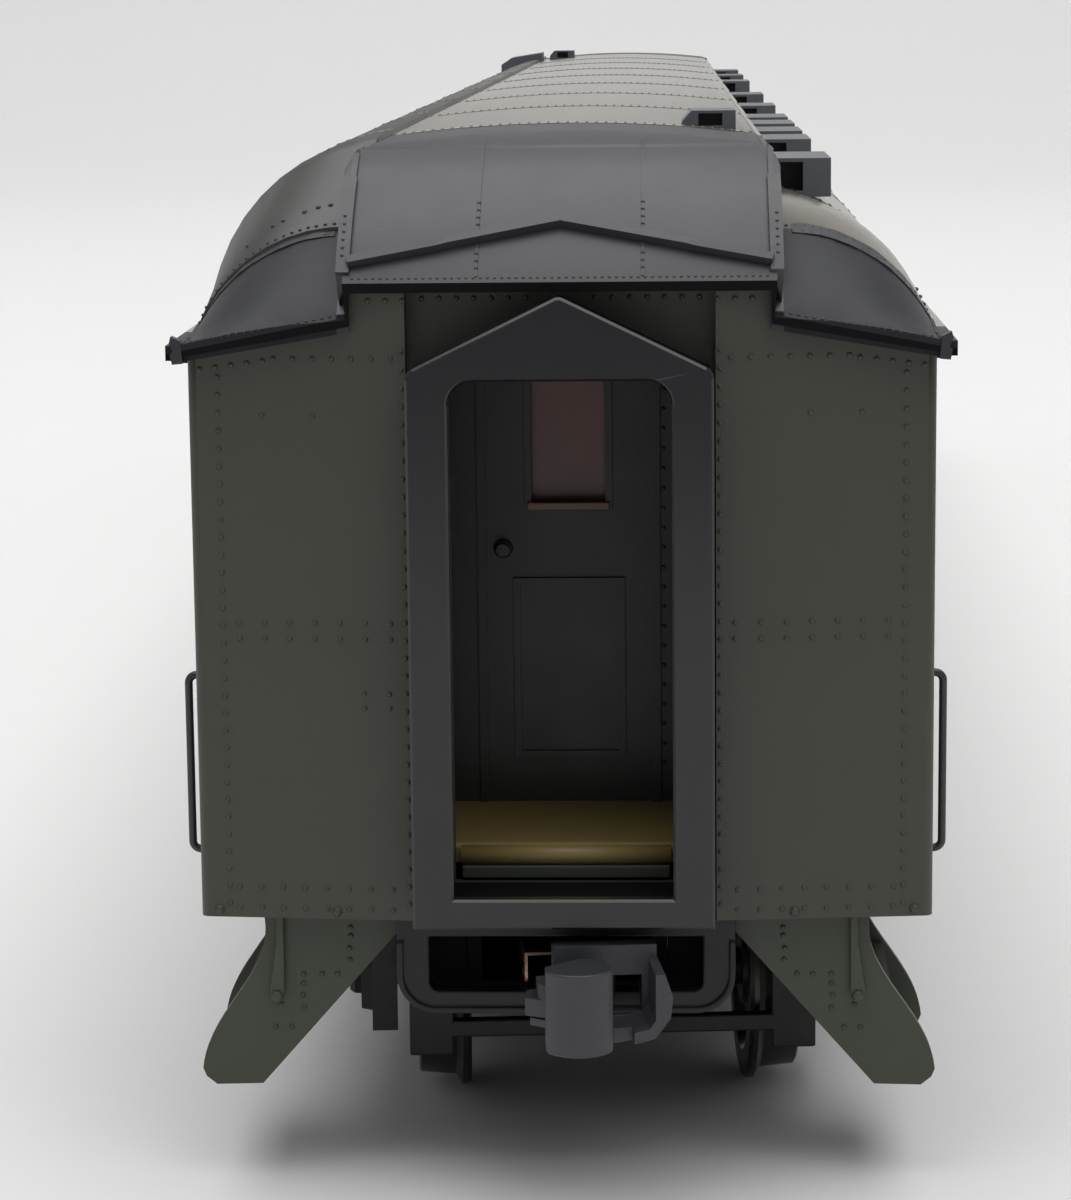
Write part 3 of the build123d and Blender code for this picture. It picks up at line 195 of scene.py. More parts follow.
def repaint(material, colour, roughness, specular, mask):
    """Another colour and gloss on the part of a surface where mask is 1."""
    nodes, links = material.node_tree.nodes, material.node_tree.links
    shader = nodes["Principled BSDF"]
    for name, kind, value in (("Base Color", "RGBA", colour), ("Roughness", "FLOAT", roughness),
                              ("Specular IOR Level", "FLOAT", specular)):
        mix = nodes.new("ShaderNodeMix")
        mix.data_type = kind
        socket = shader.inputs[name]
        if socket.links:
            links.new(socket.links[0].from_socket, mix.inputs["A"])
        else:
            mix.inputs["A"].default_value = socket.default_value
        mix.inputs["B"].default_value = value
        links.new(mask, mix.inputs["Factor"])
        links.new(mix.outputs["Result"], socket)


def roof_with_painted_light():
    """Grey hood; wings painted darker as painted shade; painted shadow on the turned-down front edges; and an
    olive roof with more gloss behind the riveted seams at both ends, painted lighter partly as painted sheen.
    """
    material = moulded("roof_paint_and_painted_light", linear(54, 54, 58), 0.42, mottle=0.08, dust=0.03)
    place = material.node_tree.nodes.new("ShaderNodeSeparateXYZ")
    texture_place = material.node_tree.nodes["Texture Coordinate"]
    material.node_tree.links.new(texture_place.outputs["Object"], place.inputs[0])
    across = math_node(material, "ABSOLUTE", place.outputs["X"])
    along = math_node(material, "ABSOLUTE", place.outputs["Y"])
    upper_deck = math_node(material, "LESS_THAN", across, CLERESTORY_X * MM)
    lower_deck = math_node(material, "SUBTRACT", 1.0, upper_deck)
    # painted shade: the lower deck is painted darker, standing in for the shade on the wings, which face
    # outward and forward away from the light; behind the seams the olive below paints over it
    repaint(material, linear(34, 35, 40), 0.46, 0.25, lower_deck)
    # painted shadow: the turned-down front edges are painted near black, standing in for the shadow that falls
    # under the wings and the hood
    edge_slope = math_node(material, "MULTIPLY", across, WING_EDGE_SLOPE)
    wing_edge = math_node(material, "ADD", edge_slope, WING_SHADOW_TOP * MM)
    wing_share = math_node(material, "MULTIPLY", wing_edge, lower_deck)
    hood_share = math_node(material, "MULTIPLY", upper_deck, HOOD_SHADOW_TOP * MM)
    shadow_height = math_node(material, "ADD", wing_share, hood_share)
    low = math_node(material, "LESS_THAN", place.outputs["Z"], shadow_height)
    in_front = math_node(material, "GREATER_THAN", along, (HALF + 0.9) * MM)
    repaint(material, linear(16, 16, 18), 0.6, 0.1, math_node(material, "MULTIPLY", low, in_front))
    hood_length = math_node(material, "MULTIPLY", upper_deck, (WING_SEAM - HOOD_SEAM) * MM)
    limit = math_node(material, "ADD", hood_length, (HALF - WING_SEAM) * MM)
    # behind the seams: olive with more gloss, its colour painted lighter than the real dark olive, partly as
    # painted sheen from grazing reflections
    repaint(material, linear(108, 104, 93), 0.2, 0.55, math_node(material, "LESS_THAN", along, limit))
    return material


body_green = moulded("body_green", linear(62, 64, 54), 0.48, mottle=0.07, dust=0.02)
bulkhead_green = moulded("bulkhead_green", linear(44, 47, 45), 0.45, mottle=0.1)
step_green = moulded("step_green", linear(60, 64, 52), 0.48, mottle=0.1)
roof_black = moulded("roof_black", linear(44, 45, 50), 0.4, mottle=0.1, dust=0.03)
hood_grey = moulded("hood_grey", linear(56, 56, 60), 0.42, mottle=0.08, dust=0.03)
roof_paint_and_painted_light = roof_with_painted_light()
# the same olive as the roof behind the seams, painted lighter partly as painted sheen
roof_olive_and_sheen = moulded("roof_olive_and_sheen", linear(108, 104, 94), 0.22, mottle=0.06, grain=0.008, dust=0.03)
duct_olive = moulded("duct_olive", linear(60, 60, 58), 0.4, mottle=0.08, dust=0.03)
vent_grey = moulded("vent_grey", linear(94, 97, 102), 0.45, mottle=0.08)
frame_black = moulded("frame_black", linear(24, 25, 28), 0.42, mottle=0.14, specular=0.4)
face_black = moulded("face_black", linear(28, 28, 31), 0.15, mottle=0.06, grain=0.005, dust=0.02)
bellows_black = moulded("bellows_black", linear(16, 16, 18), 0.8, mottle=0.15, specular=0.1)
coupler_grey = moulded("coupler_grey", linear(58, 59, 63), 0.42, mottle=0.14, grain=0.03)
floor_tan = moulded("floor_tan", linear(138, 120, 73), 0.45, mottle=0.08)
seat_green = moulded("seat_green", linear(92, 96, 66), 0.6)
partition_brown = moulded("partition_brown", linear(120, 82, 66), 0.6)
wheel_steel = moulded("wheel_steel", linear(70, 68, 66), 0.35, metallic=0.85, mottle=0.15)
axle_black = moulded("axle_black", linear(40, 40, 42), 0.4, metallic=0.6)
wire_black = moulded("wire_black", linear(44, 46, 44), 0.35, mottle=0.1)
screw_black = moulded("screw_black", linear(52, 52, 54), 0.35, metallic=0.8)
spring_bronze = moulded("spring_bronze", linear(196, 160, 138), 0.28, metallic=0.9)
ballast_steel = moulded("ballast_steel", linear(120, 120, 122), 0.4, metallic=0.9)
window_clear = clear_glass("window_clear")
door_pane = moulded("door_pane", linear(122, 88, 80), 0.25, mottle=0.25, grain=0)
door_pane.node_tree.nodes["Principled BSDF"].inputs["Alpha"].default_value = 0.8

blind_tan = moulded("blind_tan", linear(150, 136, 104), 0.7)
sill_tan = moulded("sill_tan", linear(128, 108, 88), 0.5)

NODE_MATERIALS = {
    "body_green": body_green, "bulkhead_green": bulkhead_green, "step_green": step_green,
    "frame_black": frame_black, "ballast_steel": ballast_steel, "floor_tan": floor_tan,
    "seat_green": seat_green, "partition_brown": partition_brown, "window_clear": window_clear,
    "wire_green": wire_black, "screw_steel": screw_black, "spring_bronze": spring_bronze,
    "bellows_rubber": bellows_black, "face_black": face_black, "roof_black": roof_black,
    "coupler_grey": coupler_grey, "wheel_steel": wheel_steel, "axle_black": axle_black,
}
slot_of = {part["node"]: part["material_slot"] for part in frame["record"]["subparts"]}
for node_name, node in frame["nodes"].items():
    node.data.materials.clear()
    node.data.materials.append(NODE_MATERIALS[slot_of[node_name]])
SPECIAL_MATERIALS = {
    "door_glass": door_pane, "side_vents": vent_grey, "top_vents": vent_grey, "roof": roof_paint_and_painted_light,
    "cooling_duct": duct_olive, "coupler_boxes": bellows_black, "coupler_box_lids": bellows_black,
}
for node_name, material in SPECIAL_MATERIALS.items():
    frame["nodes"][node_name].data.materials[0] = material

# ------------------------------------------------------------------ shapes, in millimetres
def at(turn, x, depth, z):
    """A point given in front-end terms, turned half a turn about Z for the rear end."""
    return Vector((turn * x, turn * (depth - HALF), z))


surfaces = {}


def surface_of(node_name):
    if node_name not in surfaces:
        node = frame["nodes"][node_name]
        surfaces[node_name] = BVHTree.FromPolygons(
            [node.matrix_world @ vertex.co for vertex in node.data.vertices],
            [tuple(face.vertices) for face in node.data.polygons])
    return surfaces[node_name]


def cast(node_names, start, direction, reach=30.0):
    """Where a ray first meets the named CAD nodes: (point, outward normal), or None."""
    nearest = None
    heading = Vector(direction).normalized()
    for node_name in node_names:
        point, normal, _, distance = surface_of(node_name).ray_cast(Vector(start) * MM, heading, reach * MM)
        if point is not None and (nearest is None or distance < nearest[2]):
            nearest = (point / MM, -normal if normal.dot(heading) > 0 else normal, distance)
    return nearest and nearest[:2]


def front_spots(node_names, turn, places):
    """Spots on the end of the coach, for places (x, z) seen from in front of it."""
    found = (cast(node_names, at(turn, x, -12, z), (0, turn, 0)) for x, z in places)
    return [spot for spot in found if spot]


def top_row(node_names, start, end, pitch, steps=160):
    """Spots a pitch apart on what lies below the straight line from start to end, both (x, y)."""
    placed, walked, last = [], pitch, None
    for step in range(steps + 1):
        share = step / steps
        x, y = (start[i] + (end[i] - start[i]) * share for i in (0, 1))
        spot = cast(node_names, (x, y, 70), (0, 0, -1), 60)
        if not spot:
            continue
        if last is not None:
            walked += (spot[0] - last).length
        last = spot[0]
        if walked >= pitch:
            placed.append(spot)
            walked = 0
    return placed


def columns(xs, zs):
    return [(x, z) for x in xs for z in zs]


def spaced(first, last, pitch):
    count = max(1, round(abs(last - first) / pitch))
    return [first + (last - first) * i / count for i in range(count + 1)]


def sloped(first, last, pitch):
    """Places a pitch apart from one (x, z) to another."""
    count = max(1, round(math.dist(first, last) / pitch))
    return [tuple(first[k] + (last[k] - first[k]) * i / count for k in (0, 1)) for i in range(count + 1)]


def around(across, other, index, count):
    """Direction number index of count, evenly spaced in the plane of two unit directions."""
    angle = math.tau * index / count
    return across * math.cos(angle) + other * math.sin(angle)


def turned(pivot, angle):
    """The turn that stores a body at an angle about an upright axis through pivot."""
    return Matrix.Translation(pivot) @ Matrix.Rotation(angle, 4, "Z") @ Matrix.Translation(-pivot)


class Shape:
    """Gathers the solids of one piece, and makes one object of them."""

    def __init__(self):
        self.points, self.faces = [], []

    def add(self, points, faces):
        base = len(self.points)
        self.points += [Vector(p) for p in points]
        self.faces += [tuple(base + i for i in face) for face in faces]
        return self

    def hull(self, near, far):
        """A prism between two like outlines."""
        count = len(near)
        sides = [(i, (i + 1) % count, count + (i + 1) % count, count + i) for i in range(count)]
        caps = [tuple(reversed(range(count))), tuple(range(count, 2 * count))]
        return self.add([*near, *far], [*caps, *sides])

    def box(self, low, high):
        (x0, y0, z0), (x1, y1, z1) = low, high
        return self.hull([(x0, y0, z0), (x1, y0, z0), (x1, y1, z0), (x0, y1, z0)],
                         [(x0, y0, z1), (x1, y0, z1), (x1, y1, z1), (x0, y1, z1)])

    def plate(self, turn, outline, depths):
        """A flat outline of (x, z) between two depths of one end."""
        return self.hull(*([at(turn, x, depth, z) for x, z in outline] for depth in depths))

    def rod(self, start, end, radius, sides=12, end_radius=None):
        start, end = Vector(start), Vector(end)
        along = (end - start).normalized()
        across = along.orthogonal().normalized()
        other = along.cross(across)
        rings = []
        for middle, size in ((start, radius), (end, radius if end_radius is None else end_radius)):
            rings.append([middle + around(across, other, i, sides) * size for i in range(sides)])
        return self.hull(*rings)

    def tube(self, path, radius, sides=8):
        """A round wire along a path of points."""
        path = [Vector(p) for p in path]
        points, faces = [], []
        side = None
        for i, point in enumerate(path):
            along = (path[min(i + 1, len(path) - 1)] - path[max(i - 1, 0)]).normalized()
            side = (along.orthogonal() if side is None else side - along * side.dot(along)).normalized()
            other = along.cross(side)
            points += [point + around(side, other, k, sides) * radius for k in range(sides)]
            if i:
                start = (i - 1) * sides
                faces += [(start + k, start + (k + 1) % sides,
                           start + sides + (k + 1) % sides, start + sides + k) for k in range(sides)]
        faces += [tuple(reversed(range(sides))), tuple(range(len(points) - sides, len(points)))]
        return self.add(points, faces)

    def rivets(self, spots, radius, rise=0.55, sides=8):
        """Low domes standing on (point, normal) spots."""
        for point, normal in spots:
            across = normal.orthogonal().normalized()
            other = normal.cross(across)
            points = []
            for size, height in ((1, -0.1), (1, 0.25), (0.62, 0.8)):
                points += [point + around(across, other, i, sides) * radius * size
                           + normal * radius * rise * height for i in range(sides)]
            points.append(point + normal * radius * rise)
            faces = []
            for ring in (0, sides):
                faces += [(ring + i, ring + (i + 1) % sides, ring + sides + (i + 1) % sides, ring + sides + i)
                          for i in range(sides)]
            faces += [(2 * sides + i, 2 * sides + (i + 1) % sides, 3 * sides) for i in range(sides)]
            faces.append(tuple(reversed(range(sides))))
            self.add(points, faces)
        return self

    def strap(self, spots, width, rise):
        """A flat strip laid along (point, normal) spots."""
        rings = []
        for i, (point, normal) in enumerate(spots):
            along = (spots[min(i + 1, len(spots) - 1)][0] - spots[max(i - 1, 0)][0]).normalized()
            side = along.cross(normal).normalized() * width / 2
            rings.append([point - side - normal * 0.05, point + side - normal * 0.05,
                          point + side + normal * rise, point - side + normal * rise])
        points = [point for ring in rings for point in ring]
        faces = [(3, 2, 1, 0), tuple(len(points) - 4 + i for i in range(4))]
        for i in range(len(rings) - 1):
            faces += [(4 * i + k, 4 * i + (k + 1) % 4,
                       4 * i + 4 + (k + 1) % 4, 4 * i + 4 + k) for k in range(4)]
        return self.add(points, faces)

    def lathe(self, start, along, profile, sides=20):
        """A turned shape: profile gives (distance along, radius) from start."""
        along = Vector(along).normalized()
        across = along.orthogonal().normalized()
        other = along.cross(across)
        points = []
        for distance, radius in profile:
            points += [Vector(start) + along * distance + around(across, other, i, sides) * radius
                       for i in range(sides)]
        faces = [tuple(reversed(range(sides))), tuple(range(len(points) - sides, len(points)))]
        for ring in range(len(profile) - 1):
            base = ring * sides
            faces += [(base + i, base + (i + 1) % sides, base + sides + (i + 1) % sides, base + sides + i)
                      for i in range(sides)]
        return self.add(points, faces)

    def make(self, name, material, body="coach", placed=None, bevel=0.0, smooth=False):
        mesh = bpy.data.meshes.new(name)
        points = self.points if placed is None else [placed @ p for p in self.points]
        mesh.from_pydata([p * MM for p in points], [], self.faces)
        if smooth:
            mesh.polygons.foreach_set("use_smooth", [True] * len(mesh.polygons))
        mesh.validate()
        mesh.update()
        made = bpy.data.objects.new(name, mesh)
        scene.collection.objects.link(made)
        mesh.materials.append(material)
        if bevel:
            soften(made, bevel)
        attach(made, body)
        return made


def soften(piece, width, segments=2, angle=32):
    """Rounded edges, so that the light catches them."""
    rounding = piece.modifiers.new("rounded_edges", "BEVEL")
    rounding.width = width * MM
    rounding.segments = segments
    rounding.limit_method = "ANGLE"
    rounding.angle_limit = math.radians(angle)
    rounding.use_clamp_overlap = True


# moulded edges of the CAD nodes are rounded a little
ROUNDED = {
    "end_front": 0.1, "end_rear": 0.1, "face_plate_front": 0.09, "face_plate_rear": 0.09, "steps_front": 0.1,
    "steps_rear": 0.1, "roof": 0.08, "cooling_duct": 0.1, "side_vents": 0.08, "top_vents": 0.08,
    "side_left": 0.06, "side_right": 0.06, "side_doors": 0.06, "bulkheads": 0.06, "buffer_frames": 0.12,
    "coupler_front": 0.12, "coupler_rear": 0.12, "battery_boxes": 0.12, "cooling_unit": 0.12,
    "truck_frame_front": 0.1, "truck_frame_rear": 0.1, "truck_sides_front": 0.1, "truck_sides_rear": 0.1,
    "interior_floor": 0.2, "underframe": 0.08, "centre_sill": 0.08,
}
for node_name, width in ROUNDED.items():
    node = frame["nodes"][node_name]
    weld = node.modifiers.new("joined_edges", "WELD")
    weld.merge_threshold = 0.002 * MM
    soften(node, width)

# ------------------------------------------------------------------ rivets of the end sheets
for end_name, turn in ENDS:
    sheet = [f"end_{end_name}"]
    seams = []
    for hand in (-1, 1):
        seams += columns([hand * 16.07], spaced(14.1, 39.4, 0.84))
        seams += columns([hand * 7.4], spaced(14.2, 40.6, 0.84))
        seams += [(hand * x, z) for z in (27.77, 27.0) for x in spaced(8.1, 15.3, 1.2)]
        seams += [(hand * x, 40.25) for x in spaced(7.9, 13.4, 0.95)]
        seams += sloped((hand * 13.9, 40.15), (hand * 16.9, 39.75), 0.8)
        seams += [(hand * x, z) for z in (14.9, 13.9) for x in spaced(8.2, 15.6, 1.05)]
        seams += [(hand * 11.6, 37.6), (hand * 14.0, 37.6)]
    seams += [(x, 42.95) for x in spaced(-8.9, 8.9, 0.8) if abs(x) > 1.1]
    seams += [(x, z) for x in (-9.4, -8.2) for z in (24.4, 23.7)]
    Shape().rivets(front_spots(sheet, turn, seams), 0.14, 0.75).make(f"end_rivets_{end_name}", body_green)
    bolts = [(hand * x, 13.75) for hand in (-1, 1) for x in (10.9, 16.6)]
    Shape().rivets(front_spots(sheet, turn, bolts), 0.26, 0.8, 6).make(f"end_bolts_{end_name}", body_green)

# ------------------------------------------------------------------ hood, wings and gutters
for end_name, turn in ENDS:
    metal = ["roof"]
    hood = Shape()
    hood.rivets(front_spots(metal, turn, [(x, 44.0) for x in spaced(-9.6, 9.6, 0.33)]), 0.075, 0.8, 6)
    for hand in (-1, 1):
        hood.rivets(front_spots(metal, turn, columns([hand * 3.85], spaced(44.4, 47.2, 0.32))), 0.1, 1.1, 6)
        raised = front_spots(metal, turn, columns([hand * 10.1], spaced(43.9, 46.6, 0.32)))
        hood.rivets([(point + normal * 0.15, normal) for point, normal in raised], 0.09, 0.9, 6)
    hood.make(f"hood_rivets_{end_name}", hood_grey)

    def hood_line(x, depths):
        """Spots up the hood's slope, over these depths."""
        found = (cast(metal, at(turn, x, depth - 12, 60), (0, turn, -1)) for depth in depths)
        return [spot for spot in found if spot]

    ribs = Shape()
    for hand in (-1, 1):
        ribs.strap(hood_line(hand * 3.85, spaced(-5.0, 11.0, 0.5)), 0.12, 0.05)
    ribs.make(f"hood_seams_{end_name}", hood_grey)

    # a chevron strip throws rain off the gangway
    chevron = Shape()
    for hand in (-1, 1):
        drip = front_spots(metal, turn, sloped((hand * 9.87, 44.6), (0, 46.3), 0.6))
        chevron.strap(drip, 0.42, 0.42)
    chevron.make(f"hood_drip_strip_{end_name}", hood_grey)

    # flanges up both edges of the hood, which end in a thin rim round its top corners
    flanges = Shape()
    for hand in (-1, 1):
        flanges.strap(hood_line(hand * 10.05, spaced(-5.2, 5.0, 0.5)), 0.62, 0.16)
        flanges.strap(hood_line(hand * 9.95, spaced(5.0, 12.0, 0.5)), 0.3, 0.1)
    flanges.make(f"hood_flanges_{end_name}", hood_grey)

    wing_rivets, wing_straps = Shape(), Shape()
    for hand in (-1, 1):
        edge = sloped((hand * 10.3, 42.3), (hand * 17.5, 41.1), 0.36)
        wing_rivets.rivets(front_spots(metal, turn, edge), 0.085, 0.8, 6)
        for depth in (5.75, 6.45):
            wing_rivets.rivets(top_row(metal + ["cooling_duct"], at(turn, hand * 17.7, depth, 0)[:2],
                                       at(turn, hand * 10.7, depth, 0)[:2], 0.4), 0.095, 0.9, 6)
        seam = top_row(metal + ["cooling_duct"], at(turn, hand * 17.8, WING_SEAM, 0)[:2],
                       at(turn, hand * 10.6, WING_SEAM, 0)[:2], 0.7)
        wing_straps.strap(seam, 1.25, 0.06)
        outer = top_row(metal, at(turn, hand * 17.6, -1.1, 0)[:2], at(turn, hand * 17.6, 6.0, 0)[:2], 0.36)
        outer += front_spots(metal, turn, sloped((hand * 17.75, 41.0), (hand * 17.2, 42.4), 0.3))
        wing_rivets.rivets(outer, 0.12, 1.1, 6)
    behind_seam = [cast(metal + ["cooling_duct"], at(turn, x, 8.0, 70), (0, 0, -1), 60)
                   for x in (-15.45, -14.18, -13.68, -12.63, -11.96, -11.35)]
    wing_rivets.rivets([spot for spot in behind_seam if spot], 0.13, 0.8)
    wing_rivets.make(f"wing_rivets_{end_name}", roof_black)
    wing_straps.make(f"wing_seams_{end_name}", roof_black)

    gutter_ends = Shape()
    for hand in (-1, 1):
        moulding = [(17.5, 40.15), (18.0, 40.1), (18.1, 40.6), (17.95, 40.7),
                    (18.12, 41.1), (18.05, 41.4), (17.6, 41.2)]
        gutter_ends.plate(turn, [(hand * x, z) for x, z in moulding], (-1.35, -0.7))
    gutter_ends.make(f"gutter_ends_{end_name}", roof_black)

# ------------------------------------------------------------------ riveted seams across the roof
for number, y in enumerate(spaced(-118.5, 118.5, 29.6)):
    across = Shape()
    for spread in (-0.45, 0.45):
        row = top_row(["roof", "cooling_duct"], (-17.6, y + spread), (17.6, y + spread), 0.5, 420)
        across.rivets(row, 0.09, 0.8, 6)
    across.make(f"roof_rivets_{number}", roof_olive_and_sheen)
    band = Shape()
    middle = top_row(["roof"], (-8.6, y), (10.0, y), 0.9, 120)
    band.strap(middle, 1.5, 0.03)
    shoulder = top_row(["roof"], (10.9, y), (17.6, y), 0.8, 80)
    band.strap(shoulder, 1.5, 0.03)
    left = top_row(["cooling_duct"], (-17.6, y), (-9.2, y), 0.8, 80)
    band.strap(left, 1.5, 0.03)
    band.make(f"roof_seam_{number}", roof_olive_and_sheen)

# ------------------------------------------------------------------ sides: rivets, sashes, sills and blinds
window_middles = [(pair - (WINDOW_PAIRS - 1) / 2) * WINDOW_PAIR_PITCH
                  + side * (WINDOW_SIZE[0] + WINDOW_POST) / 2
                  for pair in range(WINDOW_PAIRS) for side in (-1, 1)]
for side_name, hand in (("left", -1), ("right", 1)):
    sheet = [f"side_{side_name}"]
    rows = [(y, z) for z in (27.05, 27.8) for y in spaced(-128, 128, 1.15)]
    rows += [(y, 14.3) for y in spaced(-128, 128, 1.6)]
    rows += [(y, z) for z in (38.6, 39.3) for y in spaced(-137, 137, 1.6)]
    rows += [((pair - WINDOW_PAIRS / 2) * WINDOW_PAIR_PITCH, z) for pair in range(WINDOW_PAIRS + 1)
             for z in [*spaced(15.5, 26.2, 0.9), *spaced(28.8, 37.6, 0.9)]]
    spots = [cast(sheet, (hand * 25, y, z), (-hand, 0, 0)) for y, z in rows]
    side_rivets = Shape().rivets([spot for spot in spots if spot], 0.13, 0.7, 6)
    side_rivets.make(f"side_rivets_{side_name}", body_green)

    sashes = Shape()
    for y in window_middles:
        z0, z1 = WINDOW_SILL, WINDOW_SILL + WINDOW_SIZE[1]
        y0, y1 = y - WINDOW_SIZE[0] / 2, y + WINDOW_SIZE[0] / 2
        x0, x1 = sorted((hand * 16.62, hand * 17.05))
        for low, high in (((x0, y0, z0), (x1, y1, z0 + 0.45)), ((x0, y0, z1 - 0.4), (x1, y1, z1)),
                          ((x0, y0, z0), (x1, y0 + 0.4, z1)), ((x0, y1 - 0.4, z0), (x1, y1, z1)),
                          ((x0, y0, z0 + 4.7), (x1, y1, z0 + 5.05))):
            sashes.box(low, high)
        sill = sorted((hand * 17.3, hand * 17.75))
        sashes.box((sill[0], y0 - 0.3, z0 - 0.35), (sill[1], y1 + 0.3, z0 - 0.02))
    sashes.make(f"window_sashes_{side_name}", body_green, bevel=0.06)

    blinds = Shape()
    for y in window_middles:
        drop = RANDOM.choice((0, 0, 1.2, 2.4, 3.6))
        if drop:
            x0, x1 = sorted((hand * 15.5, hand * 15.62))
            blinds.box((x0, y - 3.2, 36.6 - drop), (x1, y + 3.2, 37.0))
            blinds.rod((hand * 15.56, y - 3.2, 36.6 - drop), (hand * 15.56, y + 3.2, 36.6 - drop), 0.16)
    blinds.make(f"window_blinds_{side_name}", blind_tan)

# ------------------------------------------------------------------ vestibules
for end_name, turn in ENDS:
    wall = 10.8
    sill = [(-2.05, 31.5), (2.05, 31.5), (2.05, 31.85), (-2.05, 31.85)]
    Shape().plate(turn, sill, (wall - 0.25, wall + 0.2)).make(
        f"door_window_sill_{end_name}", sill_tan, bevel=0.05)
    jamb = Shape()
    jamb.rivets(front_spots(["bulkheads"], turn, columns([4.75], spaced(18.5, 38.5, 1.0))), 0.12, 0.8)
    jamb.make(f"door_rivets_{end_name}", bulkhead_green)
    rosette = Shape().lathe(at(turn, -3.3, wall + 0.2, 29.5), (0, -turn, 0),
                            ((0, 0.5), (0.12, 0.48), (0.2, 0.36)))
    rosette.make(f"door_knob_rosette_{end_name}", bulkhead_green, smooth=True)
    threshold = Shape().plate(turn, [(-5.0, 14.98), (5.0, 14.98), (5.0, 15.6), (-5.0, 15.6)], (1.05, 1.5))
    threshold.make(f"threshold_{end_name}", step_green, bevel=0.08)
    nosing = Shape()
    nosing.rod(at(turn, -5.05, 1.5, 16.05), at(turn, 5.05, 1.5, 16.05), 0.47, 16)
    nosing.make(f"floor_nosing_{end_name}", floor_tan, smooth=True)

# ------------------------------------------------------------------ corner steps
DIMPLES = ((10.4, 12.65), (10.4, 12.24), (10.48, 11.62), (10.46, 11.04),
           (12.72, 10.34), (11.83, 10.34), (11.08, 10.34), (12.73, 9.86), (12.77, 9.28),
           (12.72, 8.65), (13.82, 8.83), (14.13, 7.69), (13.35, 7.69))
for end_name, turn in ENDS:
    plates = [f"steps_{end_name}"]
    bolts, posts, grips = Shape(), Shape(), Shape()
    for hand in (-1, 1):
        bolts.rivets(front_spots(plates, turn, [(hand * x, z) for x, z in DIMPLES]), 0.14, 0.9)
        outline = [(13.59, 13.3), (13.94, 13.3), (13.98, 12.0), (14.35, 9.6),
                   (14.25, 9.1), (13.8, 9.0), (13.62, 9.6)]
        posts.plate(turn, [(hand * x, z) for x, z in outline], (0.28, 0.9))
        posts.lathe(at(turn, hand * 14.0, 0.35, 9.35), (0, -turn, 0),
                    ((0, 0.3), (0.25, 0.28), (0.3, 0.12)), 12)
        for z, inner, outer in ((12.7, 8.6, 14.5), (8.9, 11.6, 15.7), (5.0, 15.0, 17.1)):
            for share in (0.2, 0.4, 0.6, 0.8):
                x = inner + (outer - inner) * share
                under = cast(plates, at(turn, hand * x, 5.0, z + 1.2), (0, 0, -1), 3)
                if under:
                    top = under[0].z
                    low = at(turn, hand * x - 0.12, 1.6, top - 0.05)
                    high = at(turn, hand * x + 0.12, 9.2, top + 0.12)
                    grips.box([min(a, b) for a, b in zip(low, high)], [max(a, b) for a, b in zip(low, high)])
    bolts.make(f"step_rivets_{end_name}", step_green)
    posts.make(f"step_posts_{end_name}", step_green, bevel=0.08)
    if grips.points:
        grips.make(f"step_treads_{end_name}", step_green)

# ------------------------------------------------------------------ pleated bellows in place of the CAD bellows
def folded_outline(inset):
    half = 6.95 - inset
    return [(-half, 14.6 + inset * 0.3), (half, 14.6 + inset * 0.3), (half, 39.75 - inset * 0.5),
            (0, 43.1 - inset), (-half, 39.75 - inset * 0.5)]


for end_name, turn in ENDS:
    back, front_depth, folds = 0.4, -2.5, 4
    points, faces = [], []
    stations = [back + (front_depth - back) * i / (2 * folds) for i in range(2 * folds + 1)]
    for i, depth in enumerate(stations):
        fold = 0.0 if i % 2 else 0.42
        points += [at(turn, x, depth, z) for x, z in folded_outline(fold)]
        opening = ((-5.6 - fold, 14.95), (5.6 + fold, 14.95), (5.6 + fold, 39.1 + fold),
                   (0, 41.6 + fold), (-5.6 - fold, 39.1 + fold))
        points += [at(turn, x, depth, z) for x, z in opening]
    for i in range(len(stations) - 1):
        for k in range(5):
            a, b = 10 * i + k, 10 * i + (k + 1) % 5
            faces += [(a, b, b + 10, a + 10), (a + 5, a + 15, b + 15, b + 5)]
    for ring, order in ((0, 1), (10 * (len(stations) - 1), -1)):
        for k in range(5):
            faces.append(tuple([ring + k, ring + 5 + k, ring + 5 + (k + 1) % 5, ring + (k + 1) % 5][::order]))
    bellows = Shape().add(points, faces).make(f"pleated_bellows_{end_name}", bellows_black)
    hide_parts(f"bellows_{end_name}")
    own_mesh(bellows)

# ------------------------------------------------------------------ below the end: coupler pocket
for end_name, turn in ENDS:
    pocket = Shape()
    for hand in (-1, 1):
        lining = [(4.87, 8.9), (7.35, 9.6), (7.35, 12.55), (4.87, 12.55)]
        pocket.plate(turn, [(hand * x, z) for x, z in lining], (1.5, 2.1))
    pocket.make(f"pocket_linings_{end_name}", bellows_black, bevel=0.08)

for end_name, turn in ENDS:
    pins = Shape()
    placed = Matrix.Identity(4)
    if end_name == "front":
        placed = turned(Vector((0, -COUPLER_Y, 0)), COUPLER_SWING_AT_REST)
    pins.lathe(at(turn, -2.05, -3.9, 10.6), (0, 0, 1), ((0, 0.5), (0.15, 0.5), (0.25, 0.35)), 14)
    pins.make(f"coupler_pin_{end_name}", coupler_grey, body=f"{end_name}_coupler",
              placed=placed, smooth=True)

